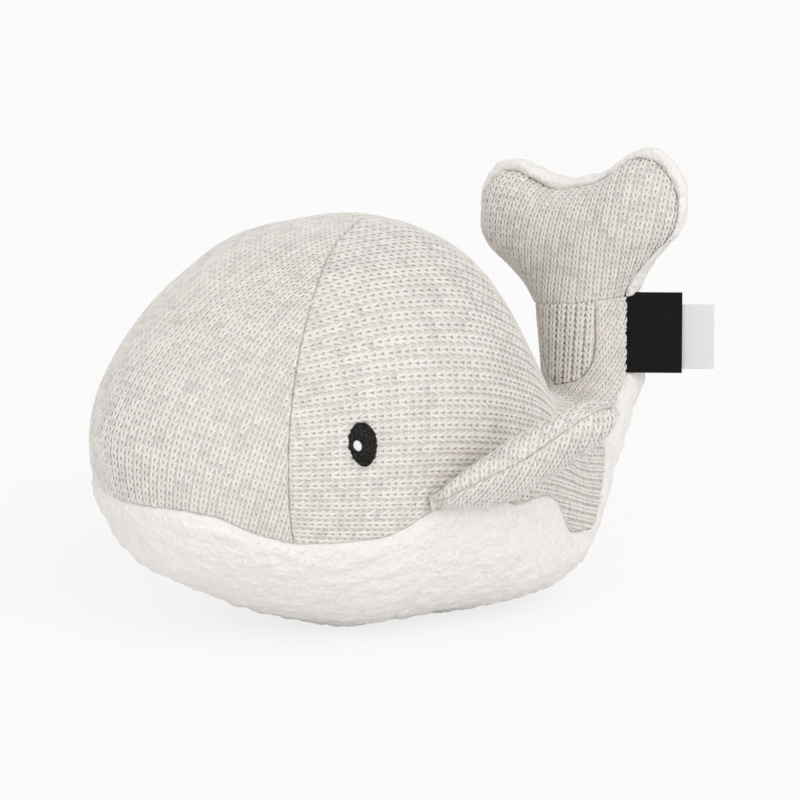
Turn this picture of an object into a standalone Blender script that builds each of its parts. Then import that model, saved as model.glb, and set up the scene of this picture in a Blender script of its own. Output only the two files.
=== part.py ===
# Plush whale, sewn from knitted and fleece panels over loose fibre filling.
# Metres, +Z up, nose toward -Y, the whale's left toward +X.
# The origin lies on the flat underside that the whale rests on, below its body.

import math

import bpy
import numpy as np

# Body
body_length = 0.200
body_height = 0.1565
body_half_width = 0.0825
rest_cut = 0.0005

# Tail stem, from the crotch up to the seam that carries the fluke
stem_half_width = 0.0210
stem_half_depth = 0.0215
stem_centre_y = 0.1240
stem_roundness = 2.0
stem_widest_share = 0.5
crotch_height = 0.0800
crotch_radius = 0.0040
fluke_seam_height = 0.1110
tail_turn = 22.0
tail_roll = 9.0
nod_relief_angle = 7.0
nod_gap = 0.0004

# Fluke
fluke_half_span = 0.0500
fluke_height = 0.0640
fluke_half_depth = 0.0190
fluke_shift = 0.0020

# Fins
fin_length = 0.0780
fin_half_depth = 0.0085
fin_front_station = 4.25
fin_back_station = 5.75
fin_lean = 40.0
fin_root_clearance = 0.0037

# Cloth
knit_thickness = 0.0020
fleece_thickness = 0.0045
fleece_puff = 0.0015
fleece_edge_width = 0.0120
seam_gap = 0.0003
filling_gap = 0.0003

# Embroidered eyes, each with a small light stitch patch on it
eye_half_height = 0.0084
eye_half_width = 0.0060
eye_tilt = 9.0
eye_thickness = 0.0010
eye_gap = 0.0003
eye_station = 3.25
eye_turn = 0.460
glint_half_height = 0.0021
glint_half_width = 0.0019
glint_thickness = 0.0005
glint_forward = 0.0025

# Two labels in the left side seam of the stem
woven_label_height = 0.0310
woven_label_reach = 0.0225
woven_label_thickness = 0.0011
care_label_height = 0.0260
care_label_reach = 0.0350
care_label_thickness = 0.0004
label_low_station = 13.08
label_high_station = 14.95
label_heading = 55.0
woven_label_gap = 0.0010
care_label_gap = 0.0024
label_spacing = 0.0014

# Side view of the body, front to back: crest y and z, keel y and z, half width, the height
# of the widest place, and roundness. Shares of the body's length, height and half width, and
# for the widest place of the line from keel to crest. A roundness of 2 gives an ellipse.
body_section_shares = [
    (-0.577, 0.518, -0.577, 0.518, 0.000, 0.50, 2.15),
    (-0.533, 0.667, -0.504, 0.235, 0.416, 0.50, 2.15),
    (-0.435, 0.812, -0.380, 0.135, 0.682, 0.50, 2.25),
    (-0.300, 0.932, -0.238, 0.050, 0.870, 0.50, 2.35),
    (-0.136, 1.013, -0.099, 0.003, 0.972, 0.50, 2.35),
    (0.026, 1.026, 0.026, 0.000, 0.999, 0.44, 2.30),
    (0.179, 0.960, 0.150, 0.000, 0.954, 0.30, 2.20),
    (0.290, 0.785, 0.282, 0.008, 0.842, 0.25, 2.05),
    (0.384, 0.560, 0.404, 0.048, 0.685, 0.32, 1.95),
]

# Below the crotch the sections turn like a fan from straight down to straight back: turn,
# reach to the rump as a share of the body's height, and half width as a share of the way
# from the stem's half width to the body's.
fan_section_shares = [
    (0.12, 0.330, 0.262),
    (0.28, 0.318, 0.113),
    (0.50, 0.279, 0.038),
    (0.75, 0.264, 0.010),
]

# Places of the seams. A turn goes from 0 at the crest to 1 at the keel.
crown_station = 5.0
forehead_angle = 38.3
mouth_station = 0.42
corner_station = 2.35
face_station = 1.65
mouth_height_shares = [1.0, 1.025, 1.0, 0.895, 0.815]
belly_turn_shares = [0.615, 0.603, 0.573, 0.540, 0.520, 0.500, 0.468, 0.450, 0.480, 0.483,
                     0.510, 0.445, 0.405, 0.425, 0.445, 0.470, 0.495, 0.510, 0.506, 0.467,
                     0.435, 0.448, 0.468, 0.488]
stem_panel_station = 12.30
stem_panel_turn_shares = [0.0, 0.035, 0.125, 0.195, 0.220, 0.225, 0.235]
twist_start_station = 12.0
twist_end_station = 13.6

# Front view of one half of the fluke: half width up its height, height across its span, and
# half depth up its height.
fluke_width_shares = [0.44, 0.56, 0.74, 0.93, 1.0, 0.985, 0.90]
fluke_top_shares = [0.78, 0.79, 0.83, 0.90, 0.965, 1.0, 0.945]
fluke_depth_shares = [1.10, 1.05, 1.0, 0.98, 0.92, 0.86, 0.80]
fluke_top_roundness = 6.0

# A fin from front to tip in its own plane, as shares of its length: its lower edge along and
# above the root line, then its upper edge, and last its half depth.
fin_section_shares = [
    (-0.040, 0.000, -0.110, 0.070, 0.36),
    (0.075, 0.000, -0.088, 0.150, 0.50),
    (0.240, 0.000, -0.015, 0.260, 0.70),
    (0.350, 0.090, 0.088, 0.370, 0.89),
    (0.435, 0.225, 0.190, 0.480, 1.00),
    (0.530, 0.360, 0.306, 0.600, 1.00),
    (0.618, 0.490, 0.425, 0.700, 0.94),
    (0.690, 0.600, 0.530, 0.765, 0.82),
    (0.715, 0.690, 0.610, 0.795, 0.70),
]
fin_end_roundness = 6.0
fin_end_least_share = 0.15
fin_layer_least_share = 0.20

# Where the seam on the fin's outer face runs, from its lower edge at 0 to its upper edge at 1.
fin_seam_shares = [0.80, 0.80, 0.80, 0.80, 0.80, 0.84, 0.90, 0.97, 1.0]

# How finely the surfaces are divided
side_rows = 8
body_columns = 18
stem_columns = 7
side_columns = body_columns + stem_columns
stem_column_station = 12.0
mouth_steps = 5
nose_rings = 3
gore_steps = 6
belly_steps = 12
stem_panel_steps = 4
fluke_columns = 12
fluke_rows = 9
fin_columns = 12
fin_outer_steps = 5
fin_inner_steps = 6
eye_rings = 3
eye_corners = 20
label_fold_steps = 4
smooth_angle = 50.0

# How closely places are told apart and found, in stations and turns
same_place_share = 0.000001
step_share = 0.02
halvings = 40
mouth_turn_least_share = 0.45

up = np.array([0.0, 0.0, 1.0])
leftward = np.array([1.0, 0.0, 0.0])
backward = np.array([0.0, 1.0, 0.0])


def remove_everything():
    for thing in list(bpy.data.objects):
        bpy.data.objects.remove(thing, do_unlink=True)


def cloth_material(name, colour, roughness):
    material = bpy.data.materials.new(name)
    material.use_nodes = True
    shader = material.node_tree.nodes["Principled BSDF"]
    shader.inputs["Base Color"].default_value = (*colour, 1.0)
    shader.inputs["Roughness"].default_value = roughness
    shader.inputs["Metallic"].default_value = 0.0
    return material


def unit(vector):
    return vector / np.linalg.norm(vector)


def mix(first, second, share):
    return first + (second - first) * share


def smooth_step(share):
    share = min(max(share, 0.0), 1.0)
    return share * share * (3.0 - 2.0 * share)


def signed_power(value, power):
    return math.copysign(abs(value) ** power, value)


def even_slope(first, second):
    # The slope where two rises meet, which never carries the curve past its values.
    both = first * second
    total = first + second
    safe = np.where(total == 0, 1.0, total)
    return np.where(both > 0, 2 * both / safe, 0.0)


def curve_value(values, place):
    # A smooth curve through evenly spaced values, read at a place counted in them.
    values = np.asarray(values, dtype=float)
    last = len(values) - 1
    place = min(max(place, 0.0), float(last))
    left = min(int(place), last - 1)
    share = place - left
    rise = values[left + 1] - values[left]
    before = values[left] - values[left - 1] if left > 0 else rise
    after = values[left + 2] - values[left + 1] if left + 2 <= last else rise
    slope_here = even_slope(before, rise)
    slope_there = even_slope(rise, after)
    bend = slope_here + slope_there - 2 * rise
    return values[left] + share * (slope_here + share * (rise - slope_here - bend
                                                         + share * bend))


def turned(point, centre, axis, degrees):
    # The point after a turn about an axis through the centre.
    axis = unit(axis)
    arm = point - centre
    angle = math.radians(degrees)
    along = axis * np.dot(axis, arm)
    return (centre + along + (arm - along) * math.cos(angle)
            + np.cross(axis, arm) * math.sin(angle))


def build_sections():
    # Each section: crest y and z, keel y and z, half width, place of the widest point,
    # roundness.
    sections = []
    for crest_y, crest_z, keel_y, keel_z, width, widest, roundness in body_section_shares:
        sections.append((crest_y * body_length, crest_z * body_height,
                         keel_y * body_length, keel_z * body_height - rest_cut,
                         width * body_half_width, widest, roundness))
    fan_y = stem_centre_y - stem_half_depth - crotch_radius
    for turn, reach, width in fan_section_shares:
        back = math.sin(math.radians(90 * turn))
        down = -math.cos(math.radians(90 * turn))
        sections.append((fan_y + crotch_radius * back, crotch_height + crotch_radius * down,
                         fan_y + reach * body_height * back,
                         crotch_height + reach * body_height * down,
                         mix(stem_half_width, body_half_width, width), stem_widest_share,
                         stem_roundness))
    for share in (0.0, 0.5, 1.0):
        height = mix(crotch_height, fluke_seam_height, share)
        sections.append((stem_centre_y - stem_half_depth, height,
                         stem_centre_y + stem_half_depth, height,
                         stem_half_width, stem_widest_share, stem_roundness))
    # Before the nose the crest and keel change places, which makes the nose round.
    crest_y, crest_z, keel_y, keel_z, width, widest, roundness = sections[1]
    before = (keel_y, keel_z, crest_y, crest_z, -width, widest, roundness)
    return np.array([before] + sections)


sections = build_sections()
fluke_lip = fleece_thickness + seam_gap
fin_sections = (np.array(fin_section_shares)
                * [fin_length, fin_length, fin_length, fin_length, fin_half_depth])
fin_last = float(len(fin_section_shares) - 1)
last_station = float(len(sections) - 2)
tail_station = float(len(body_section_shares) - 1)
tail_foot = np.array([0.0, stem_centre_y, crotch_height])


def tail_share(station):
    return smooth_step((station - tail_station) / (last_station - 1 - tail_station))


def tail_pose(point, share):
    # The tail tilts a little toward the whale's right.
    return turned(point, tail_foot, -backward, tail_roll * share)


def fluke_pose(point):
    # The fluke is turned on the stem, its front toward the whale's left.
    return tail_pose(turned(point, tail_foot, up, tail_turn), 1.0)


def body_point(station, turn):
    # A point on the base surface. Turn runs from -1 over 0, the crest, to 1, both keel.
    crest_y, crest_z, keel_y, keel_z, width, widest, roundness = curve_value(
        sections, station + 1)
    crest = np.array([0.0, crest_y, crest_z])
    keel = np.array([0.0, keel_y, keel_z])
    middle = mix(keel, crest, widest)
    angle = math.pi * turn
    power = 2.0 / roundness
    side = signed_power(math.sin(angle), power)
    rise = abs(math.cos(angle)) ** power
    end = crest if math.cos(angle) > 0 else keel
    point = middle + (end - middle) * rise + leftward * width * side
    # The stem's top falls away to both sides of the fluke's hinge.
    relief = smooth_step(station - last_station + 1)
    slope = math.tan(math.radians(nod_relief_angle))
    heading = math.radians(tail_turn)
    beside = (point[1] - stem_centre_y) * math.cos(heading) - point[0] * math.sin(heading)
    point = point - up * abs(beside) * slope * relief
    share = tail_share(station)
    if share > 0:
        point = tail_pose(point, share)
    return point


def body_normal(station, turn):
    # The outward direction, from small steps along the surface.
    step = step_share
    if station < step:
        return -np.array([0.0, 1.0, 0.0])
    along = (body_point(min(station + step, last_station), turn)
             - body_point(station - step, turn))
    around = body_point(station, turn + step) - body_point(station, turn - step)
    return unit(np.cross(around, along))


def solve(error, low, high):
    # The place between low and high where a rising error crosses zero.
    for _ in range(halvings):
        middle = (low + high) / 2
        if error(middle) > 0:
            high = middle
        else:
            low = middle
    return (low + high) / 2


def mouth_turn(station):
    centre_height = body_point(mouth_station, 1.0)[2]
    share = (station - mouth_station) / (corner_station - mouth_station)
    place = share * (len(mouth_height_shares) - 1)
    height = centre_height * curve_value(mouth_height_shares, place)
    if share <= 0:
        return 1.0
    return solve(lambda turn: height - body_point(station, turn)[2],
                 mouth_turn_least_share, 1.0)


corner_turn = mouth_turn(corner_station)


def belly_turn(station):
    # The seam between the knitted top and the fleece belly, before its twist.
    if station <= corner_station:
        return mouth_turn(station)
    share = (station - corner_station) / (last_station - corner_station)
    return curve_value([corner_turn] + belly_turn_shares, share * len(belly_turn_shares))


def seam_twist(station):
    # The stem's seams are turned with the fluke that they lead to.
    share = (station - twist_start_station) / (twist_end_station - twist_start_station)
    return tail_turn / 180.0 * smooth_step(share)


def stem_panel_turn(station):
    # The seam between a side panel and the stem's front panel, before its twist. Ahead of
    # that panel the two side panels meet along the crest.
    share = (station - stem_panel_station) / (last_station - stem_panel_station)
    if share <= 0:
        return 0.0
    return curve_value(stem_panel_turn_shares, share * (len(stem_panel_turn_shares) - 1))


def forehead_station(row_share):
    # Where a line across the side panel meets the seam of the forehead.
    crown_y = body_point(crown_station, 0.0)[1]
    opening = math.tan(math.radians(forehead_angle))

    def error(station):
        point = body_point(station, row_share * belly_turn(station))
        return point[0] - (crown_y - point[1]) * opening

    if row_share == 0:
        return crown_station
    if row_share == 1:
        return corner_station
    return solve(error, mouth_station, crown_station)


def fleece_fullness(station, turn):
    # Zero at the belly's seam and one where its pile stands at full height.
    twist = seam_twist(station)
    edge = belly_turn(station)
    plain = turn - twist
    if plain > 1:
        plain = plain - 2
    if plain < -1:
        plain = plain + 2
    if abs(plain) <= edge:
        return 0.0
    line = body_point(station, math.copysign(edge, plain) + twist)
    reach = np.linalg.norm(body_point(station, turn) - line)
    return smooth_step(reach / fleece_edge_width)


class Patch:
    # A piece of surface: outer points, the places they came from, and faces.
    def __init__(self):
        self.places = []
        self.faces = []
        self.index = {}

    def corner(self, station, turn):
        if station < same_place_share:
            turn = 0.0
        if abs(abs(turn) - 1.0) < same_place_share:
            turn = 1.0
        key = (round(station, 6), round(turn, 6))
        if key not in self.index:
            self.index[key] = len(self.places)
            self.places.append((station, turn))
        return self.index[key]

    def face(self, corners):
        kept = []
        for corner in corners:
            if corner not in kept:
                kept.append(corner)
        if len(kept) > 2:
            self.faces.append(kept)

    def length(self, start, end):
        return np.linalg.norm(body_point(*self.places[start]) - body_point(*self.places[end]))

    def grid(self, rows):
        # Each cell is cut along its shorter diagonal, so that all layers bend alike.
        for upper, lower in zip(rows, rows[1:]):
            for column in range(len(upper) - 1):
                first, second = upper[column], lower[column]
                third, fourth = lower[column + 1], upper[column + 1]
                if self.length(first, third) <= self.length(second, fourth):
                    self.face([first, second, third])
                    self.face([first, third, fourth])
                else:
                    self.face([first, second, fourth])
                    self.face([second, third, fourth])

    def add(self, other):
        numbers = [self.corner(*place) for place in other.places]
        for face in other.faces:
            self.face([numbers[corner] for corner in face])


def side_places(row, column, hand=1):
    row_share = row / side_rows
    if column <= body_columns:
        station = mix(forehead_station(row_share), stem_column_station,
                      column / body_columns)
    else:
        station = mix(stem_column_station, last_station,
                      (column - body_columns) / stem_columns)
    turn = mix(stem_panel_turn(station), belly_turn(station), row_share)
    return station, hand * turn + seam_twist(station)


def side_patch(hand):
    patch = Patch()
    rows = []
    for row in range(side_rows + 1):
        line = []
        for column in range(side_columns + 1):
            line.append(patch.corner(*side_places(row, column, hand)))
        rows.append(line if hand > 0 else line[::-1])
    patch.grid(rows)
    return patch


def mouth_places():
    # From the corner of the mouth round to its middle, on the left.
    stations = [mix(face_station, corner_station, step / gore_steps)
                for step in range(gore_steps, 0, -1)]
    for step in range(mouth_steps + 1):
        share = (1 - step / mouth_steps) ** 2
        stations.append(mix(mouth_station, face_station, share))
    return [(station, belly_turn(station)) for station in stations]


def forehead_patch():
    # Lines across the face, each from its seam on the right over the crest to the left.
    # Round the nose they are closed rings, then they end at the mouth, then they lean over
    # to the seams that run up to the crown.
    lines = []
    ends = [(mouth_station * ring / nose_rings, 1.0) for ring in range(nose_rings)]
    ends += mouth_places()[:gore_steps - 1:-1]
    for station, limit in ends:
        lines.append([(station, limit * row / side_rows) for row in range(side_rows + 1)])
    for step in range(1, gore_steps + 1):
        line = []
        for row in range(side_rows + 1):
            station, turn = side_places(row, 0)
            if step < gore_steps:
                station = mix(face_station, station, step / gore_steps)
                turn = row / side_rows * belly_turn(station)
            line.append((station, turn))
        lines.append(line)
    patch = Patch()
    rows = []
    for line in lines:
        whole = line[::-1] + [(station, -turn) for station, turn in line[1:]]
        rows.append([patch.corner(station, turn) for station, turn in whole])
    patch.grid(rows)
    return patch


def belly_patch():
    places = mouth_places()[::-1]
    for column in range(1, side_columns + 1):
        station = side_places(side_rows, column)[0]
        places.append((station, belly_turn(station)))
    patch = Patch()
    rows = []
    for station, edge in places:
        line = []
        for step in range(belly_steps + 1):
            turn = mix(edge, 2 - edge, step / belly_steps) + seam_twist(station)
            line.append(patch.corner(station, turn if turn <= 1 else turn - 2))
        rows.append(line[::-1])
    patch.grid(rows)
    return patch


def stem_panel_patch():
    patch = Patch()
    rows = []
    for column in range(body_columns, side_columns + 1):
        station, left = side_places(0, column)
        right = side_places(0, column, -1)[1]
        ahead = side_places(0, min(column + 1, side_columns))[0]
        if stem_panel_turn(ahead) == 0:
            continue
        line = []
        for step in range(stem_panel_steps + 1):
            line.append(patch.corner(station, mix(right, left, step / stem_panel_steps)))
        rows.append(line[::-1])
    patch.grid(rows)
    return patch


def make_object(name, vertices, faces, material, origin=(0.0, 0.0, 0.0)):
    # The origin is a point on the joint's axis where the piece moves.
    mesh = bpy.data.meshes.new(name)
    local = [tuple(np.asarray(vertex) - origin) for vertex in vertices]
    mesh.from_pydata(local, [], faces)
    mesh.materials.append(material)
    mesh.shade_smooth()
    mesh.set_sharp_from_angle(angle=math.radians(smooth_angle))
    thing = bpy.data.objects.new(name, mesh)
    thing.location = origin
    bpy.context.scene.collection.objects.link(thing)
    return thing


def open_edges(faces):
    # Directed edges that only one face has.
    edges = set()
    for face in faces:
        for start, end in zip(face, face[1:] + face[:1]):
            edges.add((start, end))
    return sorted((start, end) for start, end in edges if (end, start) not in edges)


def pulled_in(points, faces, distance):
    # The points with those on the border moved inward, which leaves room at the seams.
    border = open_edges(faces)
    rim = {start for start, _ in border}
    inward = {corner: np.zeros(3) for corner in rim}
    for start, end in border:
        along = unit(points[end] - points[start])
        for face in faces:
            if start in face and end in face:
                middle = np.mean([points[corner] for corner in face], axis=0)
                across = middle - points[start]
                across = unit(across - along * np.dot(across, along))
                inward[start] = inward[start] + across
                inward[end] = inward[end] + across
                break
    moved = [point.copy() for point in points]
    for corner, direction in inward.items():
        length = np.linalg.norm(direction)
        scale = 2.0 / max(length * length, 1.0)
        moved[corner] = points[corner] + direction * distance * scale
    return moved


def shell(name, outer, inner, faces, material, origin=(0.0, 0.0, 0.0)):
    # A closed piece of cloth between an outer and an inner layer of points.
    outer = pulled_in(outer, faces, seam_gap / 2)
    inner = pulled_in(inner, faces, seam_gap / 2)
    count = len(outer)
    walls = []
    for start, end in open_edges(faces):
        walls.append([end, start, start + count])
        walls.append([end, start + count, end + count])
    backs = [[corner + count for corner in face[::-1]] for face in faces]
    return make_object(name, outer + inner, faces + backs + walls, material, origin)


def body_panel(name, patch, material, fleece=False):
    outer = []
    inner = []
    for station, turn in patch.places:
        fullness = fleece_fullness(station, turn) if fleece else 0.0
        point = body_point(station, turn)
        normal = body_normal(station, turn)
        thickness = mix(knit_thickness, fleece_thickness, fullness)
        face = point + normal * fleece_puff * fullness
        outer.append(np.array([face[0], face[1], max(face[2], 0.0)]))
        inner.append(point - normal * (thickness - fleece_puff * fullness))
    return shell(name, outer, inner, patch.faces, material)


def body_filling(patches, material):
    whole = Patch()
    for patch in patches:
        whole.add(patch)
    points = []
    for station, turn in whole.places:
        fullness = fleece_fullness(station, turn)
        depth = mix(knit_thickness, fleece_thickness - fleece_puff, fullness) + filling_gap
        points.append(body_point(station, turn) - body_normal(station, turn) * depth)
    rim = open_edges(whole.faces)
    following = dict((end, start) for start, end in rim)
    start = rim[0][0]
    cap = [start]
    while following[cap[-1]] != start:
        cap.append(following[cap[-1]])
    # The top rises to the hinge, where the fluke's filling bears on it.
    hub = len(points)
    points.append(fluke_origin())
    faces = list(whole.faces)
    for first, second in zip(cap, cap[1:] + cap[:1]):
        faces.append([first, second, hub])
    return make_object("body_filling", points, faces, material)


def distinct(corners):
    kept = []
    for corner in corners:
        if corner not in kept:
            kept.append(corner)
    return kept


def cut_cell(corners, swapped):
    # A four-cornered cell as two triangles, cut along one diagonal or the other.
    first, second, third, fourth = corners
    if swapped:
        return [[first, second, fourth], [second, third, fourth]]
    return [[first, second, third], [first, third, fourth]]


def grid_faces(lines, flipped=False, mirrored_cuts=False):
    # Faces of a plain grid whose corners are numbered row by row.
    width = len(lines[0])
    faces = []
    for row in range(len(lines) - 1):
        for column in range(width - 1):
            corner = row * width + column
            cell = [corner, corner + 1, corner + width + 1, corner + width]
            swapped = mirrored_cuts and column < width // 2
            for face in cut_cell(cell, swapped):
                faces.append(face[::-1] if flipped else face)
    return faces


def fluke_shape(across, rise, side, edge, inset):
    # A point of the fluke before the tail's turn: across from -1 to 1, rise from 0 to 1, on
    # the front (side 1) or the back (side -1). The edge is how far its outline lies inside
    # the fluke's, and the inset how far its face lies under the fluke's.
    steps = len(fluke_width_shares) - 1
    half_width = fluke_half_span * curve_value(fluke_width_shares, rise * steps) - edge
    top = fluke_height * curve_value(fluke_top_shares, abs(across) * steps) - edge
    half_depth = fluke_half_depth * curve_value(fluke_depth_shares, rise * steps) - inset
    depth = half_depth * math.sqrt(max(1 - across * across, 0.0))
    depth = depth * math.sqrt(max(1 - rise ** fluke_top_roundness, 0.0))
    slope = math.tan(math.radians(nod_relief_angle))
    height = fluke_seam_height + nod_gap + top * rise + depth * slope * (1 - rise) ** 2
    shift = fluke_shift * smooth_step(rise)
    return np.array([half_width * across + shift, stem_centre_y - side * depth, height])


def fluke_lines():
    lines = []
    for row in range(fluke_rows + 1):
        rise = math.sin(math.pi / 2 * row / fluke_rows)
        line = []
        for column in range(fluke_columns + 1):
            line.append((math.sin(math.pi * (column / fluke_columns - 0.5)), rise))
        lines.append(line)
    return lines


def fluke_origin():
    return fluke_pose(np.array([0.0, stem_centre_y, fluke_seam_height]))


def fluke_panel(name, side, edge, thickness, material):
    lines = fluke_lines()
    outer = []
    inner = []
    for line in lines:
        for across, rise in line:
            outer.append(fluke_pose(fluke_shape(across, rise, side, edge, 0.0)))
            inner.append(fluke_pose(
                fluke_shape(across, rise, side, edge + thickness, thickness)))
    faces = grid_faces(lines, flipped=side < 0, mirrored_cuts=True)
    return shell(name, outer, inner, faces, material, fluke_origin())


def fluke_filling(material):
    # Its front and back meet round the sides and the top. The bottom is a roof with its
    # ridge along the hinge.
    lines = fluke_lines()
    points = []
    index = {}

    def corner(across, rise, side):
        on_rim = (abs(abs(across) - 1) < same_place_share
                  or abs(rise - 1) < same_place_share)
        key = (round(across, 6), round(rise, 6), 0 if on_rim else side)
        if key not in index:
            edge = fluke_lip + knit_thickness + filling_gap
            inset = filling_gap + (knit_thickness if side > 0 else fleece_thickness)
            index[key] = len(points)
            points.append(fluke_shape(across, rise, side, edge, inset))
        return index[key]

    faces = []
    for side in (1, -1):
        for lower, upper in zip(lines, lines[1:]):
            for column in range(fluke_columns):
                cell = [corner(*place, side) for place in
                        (lower[column], lower[column + 1], upper[column + 1], upper[column])]
                for face in cut_cell(cell, column < (fluke_columns + 1) // 2):
                    faces.append(face if side > 0 else face[::-1])
    ridge = []
    for across, rise in lines[0]:
        front = corner(across, rise, 1)
        back = corner(across, rise, -1)
        if front == back:
            ridge.append(front)
            continue
        middle = (points[front] + points[back]) / 2
        ridge.append(len(points))
        points.append(np.array([middle[0], middle[1], fluke_seam_height + nod_gap]))
    for column in range(fluke_columns):
        here = lines[0][column]
        ahead = lines[0][column + 1]
        faces.append([corner(*here, 1), ridge[column], ridge[column + 1],
                      corner(*ahead, 1)])
        faces.append([ridge[column], corner(*here, -1), corner(*ahead, -1),
                      ridge[column + 1]])
    faces = [face for face in map(distinct, faces) if len(face) > 2]
    posed = [fluke_pose(point) for point in points]
    return make_object("fluke_filling", posed, faces, material, fluke_origin())


def fin_frame():
    # The left fin's root line, just outside the belly seam, and its own directions: along
    # the root, up in the fin's plane, and out of that plane away from the body.
    front = body_point(fin_front_station, belly_turn(fin_front_station))
    back = body_point(fin_back_station, belly_turn(fin_back_station))
    along = unit(back - front)
    outward = unit(np.cross(along, up))
    upright = np.cross(outward, along)
    lean = math.radians(fin_lean)
    rising = upright * math.cos(lean) + outward * math.sin(lean)
    facing = outward * math.cos(lean) - upright * math.sin(lean)
    return front + outward * fin_root_clearance, along, rising, facing


def fin_point(place, angle_share, inset):
    # A point of the left fin. The angle runs from 0 at the lower edge over the outer face to
    # 1 at the upper edge and on over the inner face to 2.
    root, along, rising, facing = fin_frame()
    pad = inset / fin_length * fin_last
    inner_place = mix(pad, fin_last - pad, place / fin_last)
    low_r, low_h, high_r, high_h, depth = curve_value(fin_sections, inner_place)
    end = abs(2 * place / fin_last - 1) ** fin_end_roundness
    end = max(math.sqrt(max(1 - end, 0.0)), fin_end_least_share)
    centre = np.array([low_r + high_r, low_h + high_h]) / 2
    half = np.array([high_r - low_r, high_h - low_h]) / 2 * end
    length = np.linalg.norm(half)
    half = half / length * max(length - inset, length * fin_layer_least_share)
    depth = depth * end
    depth = max(depth - inset, depth * fin_layer_least_share)
    angle = math.pi * angle_share
    flat = centre - half * math.cos(angle)
    return root + along * flat[0] + rising * flat[1] + facing * depth * math.sin(angle)


def fin_lines(first, last, steps):
    # Rings of places and angles. First and last tell where along the ring it starts and
    # ends: 0 at the lower edge, 1 at the seam on the outer face, 2 at the lower edge again.
    lines = []
    for column in range(fin_columns + 1):
        place = fin_last * (1 - math.cos(math.pi * column / fin_columns)) / 2
        seam = curve_value(fin_seam_shares, place)
        line = []
        for step in range(steps + 1):
            turn = mix(first, last, step / steps)
            angle = seam * turn if turn <= 1 else mix(seam, 2.0, turn - 1)
            line.append((place, angle))
        lines.append(line)
    return lines


def fin_root(hand):
    root = fin_frame()[0]
    return np.array([hand * root[0], root[1], root[2]])


def mirrored(points, faces, hand):
    # The right fin and eye are the left ones seen in a mirror.
    if hand > 0:
        return points, faces
    return ([np.array([-x, y, z]) for x, y, z in points],
            [face[::-1] for face in faces])


def fin_panel(name, hand, first, last, steps, material):
    lines = fin_lines(first, last, steps)
    outer = [fin_point(place, angle, 0.0) for line in lines for place, angle in line]
    inner = [fin_point(place, angle, knit_thickness) for line in lines
             for place, angle in line]
    faces = grid_faces(lines, flipped=True)
    outer, turned_faces = mirrored(outer, faces, hand)
    inner, turned_faces = mirrored(inner, faces, hand)
    return shell(name, outer, inner, turned_faces, material, fin_root(hand))


def fin_filling(name, hand, material):
    depth = knit_thickness + filling_gap
    lines = []
    outer_lines = fin_lines(0.0, 1.0, fin_outer_steps)
    inner_lines = fin_lines(1.0, 2.0, fin_inner_steps)
    for outer_line, inner_line in zip(outer_lines, inner_lines):
        lines.append(outer_line + inner_line[1:])
    width = fin_outer_steps + fin_inner_steps
    points = [fin_point(place, angle, depth) for line in lines
              for place, angle in line[:width]]
    faces = []
    for row in range(fin_columns):
        for column in range(width):
            here = row * width + column
            ahead = row * width + (column + 1) % width
            faces.append([ahead + width, ahead, here])
            faces.append([here + width, ahead + width, here])
    rings = [list(range(width)), list(range(fin_columns * width, len(points)))]
    for ring, flipped in zip(rings, (False, True)):
        hub = len(points)
        points.append(np.mean([points[corner] for corner in ring], axis=0))
        for first, second in zip(ring, ring[1:] + ring[:1]):
            faces.append([second, first, hub] if flipped else [first, second, hub])
    points, faces = mirrored(points, faces, hand)
    return make_object(name, points, faces, material, fin_root(hand))


def eye_disc(name, hand, half_height, half_width, forward, base, thickness, material):
    # A flat oval of stitches that follows the face, the base metres above the knit.
    step = step_share
    along = (body_point(eye_station + step, eye_turn)
             - body_point(eye_station - step, eye_turn)) / (2 * step)
    down = (body_point(eye_station, eye_turn + step)
            - body_point(eye_station, eye_turn - step)) / (2 * step)
    normal = body_normal(eye_station, eye_turn)
    upright = unit(up - normal * np.dot(up, normal))
    ahead = np.cross(normal, upright)
    tilt = math.radians(eye_tilt)
    tall = upright * math.cos(tilt) + ahead * math.sin(tilt)
    wide = ahead * math.cos(tilt) - upright * math.sin(tilt)
    grid = np.column_stack([along, down])

    def place_of(offset):
        share, turn = np.linalg.lstsq(grid, offset, rcond=None)[0]
        return eye_station + share, eye_turn + turn

    low = []
    high = []
    for ring in range(eye_rings + 1):
        reach = ring / eye_rings
        for corner in range(eye_corners if ring else 1):
            angle = 2 * math.pi * corner / eye_corners
            offset = (wide * (half_width * reach * math.cos(angle) + forward)
                      + tall * half_height * reach * math.sin(angle))
            station, turn = place_of(offset)
            point = body_point(station, turn)
            direction = body_normal(station, turn)
            low.append(point + direction * base)
            high.append(point + direction * (base + thickness))
    faces = []
    for corner in range(eye_corners):
        ahead_corner = (corner + 1) % eye_corners
        faces.append([0, 1 + ahead_corner, 1 + corner])
        for ring in range(1, eye_rings):
            inner = 1 + (ring - 1) * eye_corners
            outer = inner + eye_corners
            faces.append([inner + corner, inner + ahead_corner, outer + ahead_corner,
                          outer + corner])
    count = len(high)
    walls = [[end, start, start + count, end + count] for start, end in open_edges(faces)]
    backs = [[corner + count for corner in face[::-1]] for face in faces]
    points, faces = mirrored(high + low, faces + walls + backs, hand)
    return make_object(name, points, faces, material)


def label_frame():
    # The middle of the labels' root line on the stem's left seam, its own direction, the way
    # the labels stick out, and their front side.
    low, high = [body_point(station, belly_turn(station) + seam_twist(station))
                 for station in (label_low_station, label_high_station)]
    axis = unit(high - low)
    heading = math.radians(label_heading)
    reach = leftward * math.cos(heading) + backward * math.sin(heading)
    reach = unit(reach - axis * np.dot(reach, axis))
    front = np.cross(axis, -reach)
    return (low + high) / 2, axis, reach, front


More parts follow.
